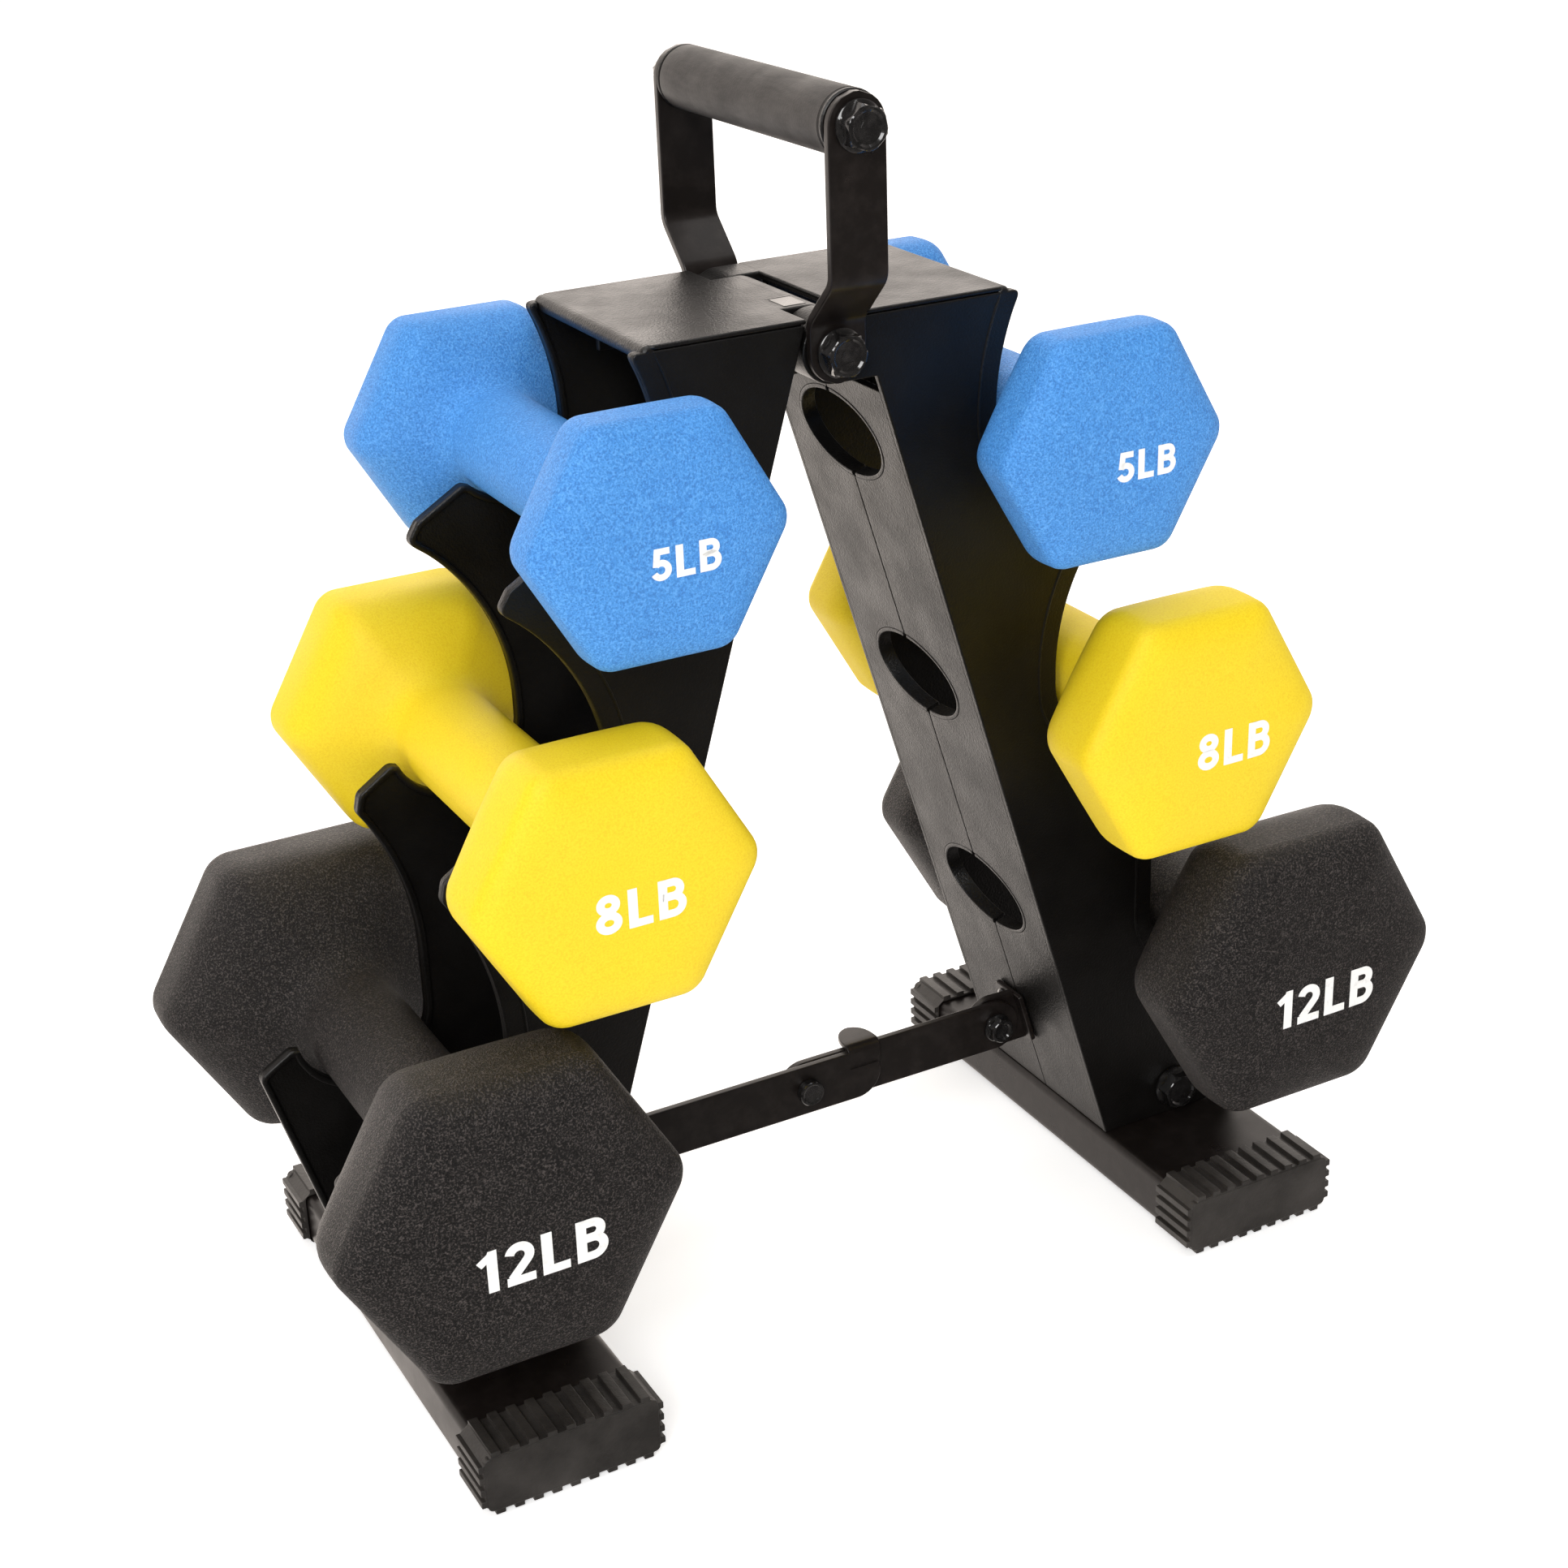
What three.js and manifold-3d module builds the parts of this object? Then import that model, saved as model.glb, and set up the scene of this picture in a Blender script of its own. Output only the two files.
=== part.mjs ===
// A-frame dumbbell rack: two hooked channel legs on ribbed feet, a top hinge with a folding
// carry handle, a folding spreader bar, and six hexagonal dumbbells lying in the hooks.
// Millimetres, +Z up. X runs from leg to leg, Y along the hinge. The origin is on the floor,
// midway between the two feet.
import * as THREE from "three";
import { mergeVertices } from "three/addons/utils/BufferGeometryUtils.js";
import Module from "manifold-3d";

const wasm = await Module();
wasm.setup();

// ---- driving dimensions -------------------------------------------------------------
const GAP = 0.3; // clearance between touching pieces
const WALL = 2.6; // moulded wall of the legs
const HALF_WIDTH = 41; // outer face of each side wall, from the middle plane
const INNER_TOP = { x: 17.5, z: 328.3 }; // upper end of a leg's slanted inner wall
const INNER_BOTTOM = { x: 109.9, z: 22.2 }; // lower end of it, on the foot tube
const AXLE_Z = 345; // hinge axle height
const TOP_Z = 356; // top of the two head plates
const TOP_PLATE = 2.4;
const TOP_OUTER_X = 65;
const LIP_R = 2.8; // rolled lip under the outer end of a head plate
const KNUCKLE_R = 11;
const AXLE_R = 6; // hinge tube
const KNUCKLE_SPLIT_Y = 25; // where the right knuckles end and the left one begins
const WEB_START_X = 14; // webs under a head plate, from the knuckle block outwards
const WEB_END_X = 52;
const WEB_DEPTH = 17;
const OVALS = [304.1, 210.1, 117.0]; // heights of the oval windows in the inner wall
const OVAL_HALF_Y = 27;
const OVAL_HALF_SLOPE = 17;

const TUBE = { x0: 108.9, x1: 168.9, z0: 1.8, z1: 21.8, halfLength: 95.4, wall: 1.5 };
const CAP = { x0: 106.3, x1: 171.9, z1: 24.5, inner: 78.2, outer: 98.2, end: 2.4 };
const RIB = { depth: 1.5, width: 3.4, top: 9, side: 3 };
const FOOT_BOLT = { x: 140.3, z: 34, length: 14 };
const HINGE_BOLT_LENGTH = 30;
const GRIP_BOLT_LENGTH = 26;
const FOOT_BRACKET = { baseX: [122, 158], earX: [126, 155], thick: 2.5, height: 24 };

const PIVOT = { x: 84, z: 58.5 }; // spreader pivots on the brackets
const LINK_HALF = 10; // half the width of a spreader link
const LINK_THICK = 2.8;
const LEFT_LINK_Y = -7; // front face of the left link
const RIGHT_LINK_Y = -3.9;
const EAR_Y = -0.8;
const EAR_THICK = 3;
const EAR_R = 11;
const BRACKET = { front: -5, back: 12, halfHeight: 11, thick: 2, earInset: 0.2, earBite: 1 };
const BRACKET_SCREW = { top: 1.7, base: 2.7, height: 1.6, y: 7.6, offset: 6 };
const LEFT_LINK_TAIL = 31; // left link beyond the middle rivet
const RIGHT_LINK_TAIL = 10;
const TAB = { from: 17, to: 30, thick: 2, beyond: 8, stemFoot: 4 };
const SPACER_R = 5; // spacer behind the left link
const RIVET = { head: 5, height: 3.2, tail: 5.2, tailHeight: 2 };

const STRAP = {
  half: 10, thick: 3, flatTop: 355.3, kneeZ: 370, upperY: 59.1, boltZ: 416.8, end: 12, mitre: 0.8,
};
const GRIP = { radius: 10.5, core: 7.6, bore: 4.3 };

// Each cradle: the saddle arc under the handle, the long arc above it and the finger's tip.
const CRADLES = [
  {
    pounds: 5, saddle: { x: 80.5, z: 311.2, r: 20 }, sweep: { z: 314, r: 90 },
    lip: { x: 94.6, z: 297 }, tip: { x: 115.5, z: 285.5 },
  },
  {
    pounds: 8, saddle: { x: 108, z: 213.2, r: 23 }, sweep: { z: 218, r: 77 },
    lip: { x: 129.1, z: 204 }, tip: { x: 145.2, z: 194.5 },
  },
  {
    pounds: 12, saddle: { x: 152.1, z: 113.2, r: 24 }, sweep: { z: 134, r: 100 },
    lip: { x: 175.4, z: 107.4 }, tip: { x: 191.5, z: 98.5 },
  },
];
// The rounded corner of a side wall under the head plate, and where the first long arc begins.
const HEAD_CORNER = { back: 3, beyond: 1, drop: 1.5, arcZ: 350 };
// A finger: its upper edge past the lip, the chamfers of its tip, and the start of the next arc.
const FINGER = { lipX: 3, lipZ: 1, tipBack: 2, tipTop: 2.5, tipBottom: 1, nextArc: 5 };
// Across the flats, half length, depth of a head, handle radius and length of the neck.
const DUMBBELLS = {
  5: { flat: 76.6, face: 84.4, head: 27.4, handle: 17.0, neck: 15 },
  8: { flat: 86.0, face: 100.0, head: 36.8, handle: 17.7, neck: 20 },
  12: { flat: 104.2, face: 107.2, head: 38.4, handle: 18.1, neck: 24 },
};
const M8 = { shank: 3.9, flat: 13, flange: 8, height: 6.5, nut: 6 };
const M6 = { shank: 2.9, flat: 9, flange: 5.6, height: 4.8, nut: 4.7 };
const FLANGE_THICK = 1.6;
const SADDLE_GAP = 0.35; // between a handle and the bottom of its cradle
const BOLT_PLAY = 0.4; // clearance hole round a foot bolt's shank
const CORNER_SHARE = 0.22; // corner rounding of a head, as a share of half its flats
const FACE_EDGE = 0.17; // depth of the pillowed front of a head, as a share of its flats
const SHOULDER_SHARE = 0.55; // straight part of a head, as a share of its depth
const DUMBBELL_COLOURS = { 5: 0x3f8be0, 8: 0xf7e233, 12: 0x3a3532 };

const THROUGH = 200; // half length of a cutter that passes right through a piece

// ---- solids ---------------------------------------------------------------------------
function solid(geometry) {
  const bare = geometry.clone();
  bare.deleteAttribute("normal");
  bare.deleteAttribute("uv");
  const merged = mergeVertices(bare, 1e-4);
  const vertProperties = new Float32Array(merged.attributes.position.array);
  const triVerts = new Uint32Array(merged.index.array);
  return new wasm.Manifold(new wasm.Mesh({ numProp: 3, vertProperties, triVerts }));
}

function geometryOf(body) {
  const mesh = body.getMesh();
  const geometry = new THREE.BufferGeometry();
  geometry.setAttribute("position", new THREE.BufferAttribute(new Float32Array(mesh.vertProperties), 3));
  geometry.setIndex(new THREE.BufferAttribute(new Uint32Array(mesh.triVerts), 1));
  geometry.computeVertexNormals();
  return geometry;
}

function box(x0, x1, y0, y1, z0, z1) {
  const geometry = new THREE.BoxGeometry(x1 - x0, y1 - y0, z1 - z0);
  geometry.translate((x0 + x1) / 2, (y0 + y1) / 2, (z0 + z1) / 2);
  return solid(geometry);
}

function shapeOf(points) {
  return new THREE.Shape(points.map(([x, z]) => new THREE.Vector2(x, z)));
}

// A flat outline in the XZ plane, made solid from y0 to y1.
function slab(points, y0, y1) {
  const geometry = new THREE.ExtrudeGeometry(shapeOf(points), { depth: y1 - y0, bevelEnabled: false });
  geometry.rotateX(Math.PI / 2);
  geometry.translate(0, y1, 0);
  return solid(geometry);
}

function rod(x, z, radius, y0, y1, sides = 16) {
  const geometry = new THREE.CylinderGeometry(radius, radius, y1 - y0, sides);
  geometry.translate(x, (y0 + y1) / 2, z);
  return solid(geometry);
}

function arc(x, z, radius, fromDeg, toDeg, steps) {
  const points = [];
  for (let i = 0; i <= steps; i += 1) {
    const angle = THREE.MathUtils.degToRad(fromDeg + ((toDeg - fromDeg) * i) / steps);
    points.push([x + radius * Math.cos(angle), z + radius * Math.sin(angle)]);
  }
  return points;
}

function union(bodies) {
  return bodies.reduce((whole, next) => whole.add(next));
}

const root = new THREE.Group();
const mirrored = new THREE.Group();
mirrored.scale.x = -1;
root.add(mirrored);

const FINISH = {
  plastic: { color: 0x1b1a1a, roughness: 0.55, metalness: 0 },
  steel: { color: 0x141414, roughness: 0.35, metalness: 0.6 },
  bolt: { color: 0x0b0b0c, roughness: 0.15, metalness: 0.8 },
  foam: { color: 0x2b2b2b, roughness: 0.8, metalness: 0 },
  cap: { color: 0x161616, roughness: 0.7, metalness: 0 },
  coat: { color: 0x3a3532, roughness: 0.85, metalness: 0 },
};

function place(name, body, finish, parent = root, colour = undefined) {
  const material = new THREE.MeshStandardMaterial({ ...FINISH[finish] });
  if (colour !== undefined) material.color.setHex(colour);
  const mesh = new THREE.Mesh(geometryOf(body), material);
  mesh.name = name;
  parent.add(mesh);
  return mesh;
}

// ---- leg -------------------------------------------------------------------------------
const SLOPE = (INNER_BOTTOM.x - INNER_TOP.x) / (INNER_TOP.z - INNER_BOTTOM.z);
const LEAN = Math.atan(SLOPE);

function innerX(z) {
  return INNER_TOP.x + (INNER_TOP.z - z) * SLOPE;
}

// The hooked outline of a side wall, outer edge from the top down, then back up the inner edge.
function sideOutline() {
  const plateBottom = TOP_Z - TOP_PLATE - GAP;
  const points = [[innerX(plateBottom), plateBottom], [TOP_OUTER_X - HEAD_CORNER.back, plateBottom]];
  points.push([TOP_OUTER_X + HEAD_CORNER.beyond, plateBottom - HEAD_CORNER.drop]);
  let startZ = HEAD_CORNER.arcZ;
  for (const { saddle, sweep, lip, tip } of CRADLES) {
    const left = saddle.x - saddle.r;
    const startDeg = 180 - THREE.MathUtils.radToDeg(Math.asin((startZ - sweep.z) / sweep.r));
    points.push(...arc(left + sweep.r, sweep.z, sweep.r, startDeg, 180, 7));
    const lipDeg = THREE.MathUtils.radToDeg(Math.atan2(lip.z - saddle.z, lip.x - saddle.x));
    points.push(...arc(saddle.x, saddle.z, saddle.r, 180, 360 + lipDeg, 8));
    points.push([lip.x + FINGER.lipX, lip.z + FINGER.lipZ]);
    points.push([tip.x - FINGER.tipBack, tip.z + FINGER.tipTop], [tip.x, tip.z - FINGER.tipBottom]);
    startZ = tip.z - FINGER.nextArc;
  }
  points.push([TUBE.x1 - 1, INNER_BOTTOM.z]);
  points.push([INNER_BOTTOM.x, INNER_BOTTOM.z]);
  return points;
}

// An elliptical cutter across the slanted inner wall.
function ovalCutter(z) {
  const geometry = new THREE.CylinderGeometry(1, 1, 30, 28);
  geometry.rotateZ(Math.PI / 2);
  geometry.scale(1, OVAL_HALF_Y, OVAL_HALF_SLOPE);
  geometry.rotateY(-LEAN);
  geometry.translate(innerX(z), 0, z);
  return solid(geometry);
}

// One half of a leg: a side wall and its half of the inner wall, up to the middle seam.
function legShell(side) {
  const seam = GAP / 2;
  const panel = [
    [INNER_TOP.x, INNER_TOP.z],
    [INNER_BOTTOM.x, INNER_BOTTOM.z],
    [INNER_BOTTOM.x + WALL / Math.cos(LEAN), INNER_BOTTOM.z],
    [INNER_TOP.x + WALL / Math.cos(LEAN), INNER_TOP.z],
  ].reverse();
  const y = (near, far) => (side < 0 ? [-far, -near] : [near, far]);
  const wall = slab(sideOutline(), ...y(HALF_WIDTH - WALL, HALF_WIDTH));
  let shell = wall.add(slab(panel, ...y(seam, HALF_WIDTH - WALL / 2)));
  for (const z of OVALS) {
    shell = shell.subtract(ovalCutter(z));
  }
  return shell.subtract(rod(FOOT_BOLT.x, FOOT_BOLT.z, M8.shank + BOLT_PLAY, ...y(0, THROUGH)));
}

// The head plate of a leg, with its rolled lip, hinge knuckles and the webs below.
function legHead(knuckleSpans, webSpans) {
  const bodies = [box(innerX(TOP_Z), TOP_OUTER_X, -HALF_WIDTH, HALF_WIDTH, TOP_Z - TOP_PLATE, TOP_Z)];
  const insideY = HALF_WIDTH - WALL - GAP;
  bodies.push(rod(TOP_OUTER_X - LIP_R, TOP_Z - LIP_R, LIP_R, -insideY, insideY));
  const footZ = AXLE_Z - KNUCKLE_R;
  const wallX = (z) => innerX(z) - GAP / Math.cos(LEAN);
  const cheek = [[0, footZ], [wallX(footZ), footZ], [wallX(TOP_Z), TOP_Z], [0, TOP_Z]];
  for (const [y0, y1] of knuckleSpans) {
    const [back, front] = [Math.max(y0, -insideY), Math.min(y1, insideY)];
    bodies.push(box(0, WEB_START_X + 1, back, front, footZ, TOP_Z));
    bodies.push(slab(cheek, y0, y1));
    bodies.push(rod(0, AXLE_Z, KNUCKLE_R, y0, y1, 32));
  }
  for (const [y0, y1] of webSpans) {
    bodies.push(box(WEB_START_X, WEB_END_X, y0, y1, TOP_Z - WEB_DEPTH, TOP_Z - 1));
  }
  return union(bodies).subtract(rod(0, AXLE_Z, AXLE_R + GAP, -THROUGH, THROUGH, 24));
}

function footTube() {
  const { x0, x1, z0, z1, halfLength, wall } = TUBE;
  const outer = box(x0, x1, -halfLength, halfLength, z0, z1);
  return outer.subtract(box(x0 + wall, x1 - wall, -THROUGH, THROUGH, z0 + wall, z1 - wall));
}

// The ribbed outline of a foot cap: ribs along Y on its top, bottom and sides.
function capOutline() {
  const { x0, x1, z1 } = CAP;
  const corner = 3;
  const points = [];
  const run = (ax, az, bx, bz, count) => {
    const length = Math.hypot(bx - ax, bz - az);
    const [tx, tz] = [(bx - ax) / length, (bz - az) / length];
    const pitch = length / count;
    for (let i = 0; i < count; i += 1) {
      const from = pitch * (i + 0.5) - RIB.width / 2;
      for (const [along, out] of [[from, 0], [from, 1], [from + RIB.width, 1], [from + RIB.width, 0]]) {
        const inset = RIB.depth * (1 - out);
        points.push([ax + tx * along - tz * inset, az + tz * along + tx * inset]);
      }
    }
  };
  run(x0 + corner, 0, x1 - corner, 0, RIB.top);
  run(x1, corner, x1, z1 - corner, RIB.side);
  run(x1 - corner, z1, x0 + corner, z1, RIB.top);
  run(x0, z1 - corner, x0, corner, RIB.side);
  return points;
}

function footCap(side) {
  const ys = side < 0 ? [-CAP.outer, -CAP.inner] : [CAP.inner, CAP.outer];
  const socket = side < 0 ? [-CAP.outer + CAP.end, 0] : [0, CAP.outer - CAP.end];
  const { x0, x1, z0, z1 } = TUBE;
  return slab(capOutline(), ...ys).subtract(box(x0 - GAP, x1 + GAP, ...socket, z0 - GAP, z1 + GAP));
}

// A U-shaped bracket on the foot tube, inside the leg: the leg is bolted to its two ears.
function footBracket() {
  const { baseX, earX, thick, height } = FOOT_BRACKET;
  const outY = HALF_WIDTH - WALL - GAP;
  const z0 = TUBE.z1 + GAP;
  const base = box(...baseX, -outY, outY, z0, z0 + thick);
  const ears = [-outY, outY - thick].map((y) => box(...earX, y, y + thick, z0, z0 + height));
  const bolt = rod(FOOT_BOLT.x, FOOT_BOLT.z, M8.shank + BOLT_PLAY, -THROUGH, THROUGH);
  return union([base, ...ears]).subtract(bolt);
}

// A hex flange bolt along Y: its head points to -Y when side is -1, to +Y when it is 1.
function flangeBolt(x, z, seatY, side, size, length) {
  const span = (a, b) => (side < 0 ? [seatY - b, seatY - a] : [seatY + a, seatY + b]);
  const flange = rod(x, z, size.flange, ...span(GAP, GAP + FLANGE_THICK), 20);
  const head = rod(x, z, size.flat / Math.sqrt(3), ...span(GAP + 1, GAP + size.height), 6);
  const shank = rod(x, z, size.shank, ...span(-length, GAP + 1), 12);
  return union([flange, head, shank]);
}

function hexNut(x, z, y0, y1, size) {
  const hole = rod(x, z, size.shank + GAP, -THROUGH, THROUGH, 12);
  return rod(x, z, size.flat / Math.sqrt(3), y0, y1, 6).subtract(hole);
}

// ---- spreader ----------------------------------------------------------------------------
// A link reaching inwards from the left pivot, past the middle rivet by the given tail.
function linkPlate(tail, y0) {
  const outline = [
    ...arc(-PIVOT.x, PIVOT.z, LINK_HALF, 90, 270, 8),
    ...arc(tail - LINK_HALF, PIVOT.z, LINK_HALF, -90, 90, 8),
  ];
  const plate = slab(outline, y0, y0 + LINK_THICK);
  const holes = [-PIVOT.x, 0].map((x) => rod(x, PIVOT.z, M6.shank + GAP, -THROUGH, THROUGH, 12));
  return plate.subtract(union(holes));
}

// The left link, with its thumb tab bent back over the top edge of the right link.
function leftLink() {
  const tabZ = PIVOT.z + LINK_HALF + GAP;
  const tabBack = RIGHT_LINK_Y + LINK_THICK + TAB.beyond;
  const tab = box(TAB.from, TAB.to, LEFT_LINK_Y, tabBack, tabZ, tabZ + TAB.thick);
  const stemTop = tabZ + TAB.thick;
  const stem = box(TAB.from, TAB.to, LEFT_LINK_Y, LEFT_LINK_Y + TAB.thick, PIVOT.z + TAB.stemFoot, stemTop);
  return union([linkPlate(LEFT_LINK_TAIL, LEFT_LINK_Y), tab, stem]);
}

// The bracket that carries a spreader link: a foot on the inner wall and an ear beside the link.
function spreaderBracket() {
  const { front, back, halfHeight, earInset, earBite } = BRACKET;
  const wallX = (z) => innerX(z) - GAP / Math.cos(LEAN);
  const thick = BRACKET.thick / Math.cos(LEAN);
  const [z0, z1] = [PIVOT.z - halfHeight, PIVOT.z + halfHeight];
  const foot = [[wallX(z0), z0], [wallX(z1), z1], [wallX(z1) - thick, z1], [wallX(z0) - thick, z0]];
  const ear = [
    [wallX(z0 + earInset) - earBite, z0 + earInset],
    [wallX(z1 - earInset) - earBite, z1 - earInset],
    ...arc(PIVOT.x, PIVOT.z, EAR_R, 90, 270, 8),
  ];
  const bracket = slab(foot, front, back).add(slab(ear, EAR_Y, EAR_Y + EAR_THICK));
  return bracket.subtract(rod(PIVOT.x, PIVOT.z, M6.shank + GAP, -THROUGH, THROUGH, 12));
}

// A pan-head screw lying on the bracket's foot, square to the slanted wall.
function bracketScrew(z) {
  const { top, base, height, y } = BRACKET_SCREW;
  const geometry = new THREE.CylinderGeometry(top, base, height, 12);
  geometry.rotateZ(Math.PI / 2);
  geometry.translate(-(GAP + BRACKET.thick + GAP + height / 2), 0, 0);
  geometry.rotateY(-LEAN);
  geometry.translate(innerX(z), y, z);
  return solid(geometry);
}

// ---- handle --------------------------------------------------------------------------------
// One strap, bent outwards above the leg and rounded at both ends.
function strap(side) {
  const inner = HALF_WIDTH + GAP;
  const { thick, flatTop, kneeZ, upperY, boltZ, half, end, mitre } = STRAP;
  const [bottom, top] = [AXLE_Z - end, boltZ + end];
  const bend = [
    [inner, bottom], [inner + thick, bottom], [inner + thick, flatTop - mitre],
    [upperY, kneeZ - mitre], [upperY, top], [upperY - thick, top],
    [upperY - thick, kneeZ + mitre], [inner, flatTop + mitre],
  ];
  const geometry = new THREE.ExtrudeGeometry(shapeOf(bend), { depth: 2 * half, bevelEnabled: false });
  geometry.rotateX(Math.PI / 2);
  geometry.rotateZ(Math.PI / 2);
  geometry.translate(-half, 0, 0);
  if (side < 0) geometry.rotateZ(Math.PI);
  const outline = [...arc(0, AXLE_Z, half, 180, 360, 10), ...arc(0, boltZ, half, 0, 180, 10)];
  const ends = slab(outline, -THROUGH, THROUGH);
  const holes = [AXLE_Z, boltZ].map((z) => rod(0, z, M8.shank + GAP, -THROUGH, THROUGH));
  return solid(geometry).intersect(ends).subtract(union(holes));
}

function sleeve(radius, bore, halfLength, sides) {
  const z = STRAP.boltZ;
  return rod(0, z, radius, -halfLength, halfLength, sides).subtract(rod(0, z, bore, -THROUGH, THROUGH));
}

// ---- dumbbells -------------------------------------------------------------------------------
// A rounded hexagon with flat top and bottom, three points to a corner, of the given half
// flats, blended towards a circle of the same size.
function hexRing(halfFlat, blend) {
  const round = halfFlat * CORNER_SHARE;
  const core = (halfFlat - round) / Math.cos(Math.PI / 6);
  const points = [];
  for (let corner = 0; corner < 6; corner += 1) {
    const middle = (corner * Math.PI) / 3;
    for (const turn of [-Math.PI / 6, 0, Math.PI / 6]) {
      const x = core * Math.cos(middle) + round * Math.cos(middle + turn);
      const z = core * Math.sin(middle) + round * Math.sin(middle + turn);
      const angle = middle + (turn * 2) / 3;
      points.push([
        x + (halfFlat * Math.cos(angle) - x) * blend,
        z + (halfFlat * Math.sin(angle) - z) * blend,
      ]);
    }
  }
  return points;
}

function loft(rings) {
  const count = rings[0].points.length;
  const positions = [];
  const index = [];
  for (const { y, points } of rings) {
    for (const [x, z] of points) positions.push(x, y, z);
  }
  for (let ring = 0; ring + 1 < rings.length; ring += 1) {
    for (let i = 0; i < count; i += 1) {
      const a = ring * count + i;
      const b = ring * count + ((i + 1) % count);
      index.push(a, b, a + count, b, b + count, a + count);
    }
  }
  const lastStart = (rings.length - 1) * count;
  for (let i = 1; i + 1 < count; i += 1) {
    index.push(0, i + 1, i);
    index.push(lastStart, lastStart + i, lastStart + i + 1);
  }
  const geometry = new THREE.BufferGeometry();
  geometry.setAttribute("position", new THREE.Float32BufferAttribute(positions, 3));
  geometry.setIndex(index);
  return geometry;
}

// Half of a dumbbell's side view, from its face to its handle. Each station gives its depth and
// its size as shares; behind the head, also how round the section has become.
const FACE_PROFILE = [[0, 0.72], [0.2, 0.9], [0.5, 0.975], [1, 1]];
const BACK_PROFILE = [
  [0, 1, 0], [0.28, 0.95, 0], [0.46, 0.8, 0.15], [0.58, 0.56, 0.45],
  [0.72, 0.28, 0.8], [0.86, 0.07, 1], [1, 0, 1],
];

function dumbbell({ flat, face, head, handle, neck }) {
  const full = flat / 2;
  const half = FACE_PROFILE.map(([depth, size]) => (
    { y: face - depth * flat * FACE_EDGE, points: hexRing(full * size, 0) }
  ));
  const backStart = face - Math.max(head * SHOULDER_SHARE, flat * FACE_EDGE + 1);
  const backEnd = face - head - neck;
  for (const [depth, size, blend] of BACK_PROFILE) {
    const y = backStart + (backEnd - backStart) * depth;
    half.push({ y, points: hexRing(handle + (full - handle) * size, blend) });
  }
  const rings = [...half, ...half.map(({ y, points }) => ({ y: -y, points })).reverse()];
  return solid(loft(rings));
}

// ---- assembly ----------------------------------------------------------------------------------
const RIGHT_HEAD = legHead(
  [[-HALF_WIDTH, -KNUCKLE_SPLIT_Y], [KNUCKLE_SPLIT_Y, HALF_WIDTH]],
  [[-KNUCKLE_SPLIT_Y - WALL, -KNUCKLE_SPLIT_Y], [KNUCKLE_SPLIT_Y, KNUCKLE_SPLIT_Y + WALL]],
);
const LEFT_SPLIT_Y = KNUCKLE_SPLIT_Y - GAP;
const LEFT_HEAD = legHead(
  [[-LEFT_SPLIT_Y, LEFT_SPLIT_Y]],
  [[-LEFT_SPLIT_Y, WALL - LEFT_SPLIT_Y], [LEFT_SPLIT_Y - WALL, LEFT_SPLIT_Y]],
);
const EAR_BACK = EAR_Y + EAR_THICK;

for (const [name, parent, head] of [["right", root, RIGHT_HEAD], ["left", mirrored, LEFT_HEAD]]) {
  place(`${name}_leg_head`, head, "plastic", parent);
  place(`${name}_foot_tube`, footTube(), "steel", parent);
  place(`${name}_foot_bracket`, footBracket(), "steel", parent);
  place(`${name}_spreader_bracket`, spreaderBracket(), "steel", parent);
  place(`${name}_bracket_screw_upper`, bracketScrew(PIVOT.z + BRACKET_SCREW.offset), "bolt", parent);
  place(`${name}_bracket_screw_lower`, bracketScrew(PIVOT.z - BRACKET_SCREW.offset), "bolt", parent);
  for (const [end, side] of [["front", -1], ["rear", 1]]) {
    place(`${name}_leg_${end}_shell`, legShell(side), "plastic", parent);
    place(`${name}_foot_cap_${end}`, footCap(side), "cap", parent);
    const bolt = flangeBolt(FOOT_BOLT.x, FOOT_BOLT.z, side * HALF_WIDTH, side, M8, FOOT_BOLT.length);
    place(`${name}_foot_bolt_${end}`, bolt, "bolt", parent);
    const nutY = HALF_WIDTH - WALL - GAP - FOOT_BRACKET.thick - GAP;
    const nutSpan = side < 0 ? [-nutY, M8.nut - nutY] : [nutY - M8.nut, nutY];
    place(`${name}_foot_nut_${end}`, hexNut(FOOT_BOLT.x, FOOT_BOLT.z, ...nutSpan, M8), "bolt", parent);
  }
  const linkFace = name === "left" ? LEFT_LINK_Y : RIGHT_LINK_Y;
  const pivotNutEnd = EAR_BACK + GAP + M6.nut;
  const pivotBolt = flangeBolt(PIVOT.x, PIVOT.z, linkFace, -1, M6, pivotNutEnd + 1 - linkFace);
  place(`${name}_pivot_bolt`, pivotBolt, "bolt", parent);
  const nut = hexNut(PIVOT.x, PIVOT.z, EAR_BACK + GAP, pivotNutEnd, M6);
  place(`${name}_pivot_nut`, nut, "bolt", parent);
}
const spacerSpan = [LEFT_LINK_Y + LINK_THICK + GAP, EAR_Y - GAP];
const spacerBore = rod(PIVOT.x, PIVOT.z, M6.shank + GAP, -THROUGH, THROUGH, 12);
const spacer = rod(PIVOT.x, PIVOT.z, SPACER_R, ...spacerSpan).subtract(spacerBore);
place("left_pivot_spacer", spacer, "steel", mirrored);

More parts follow.
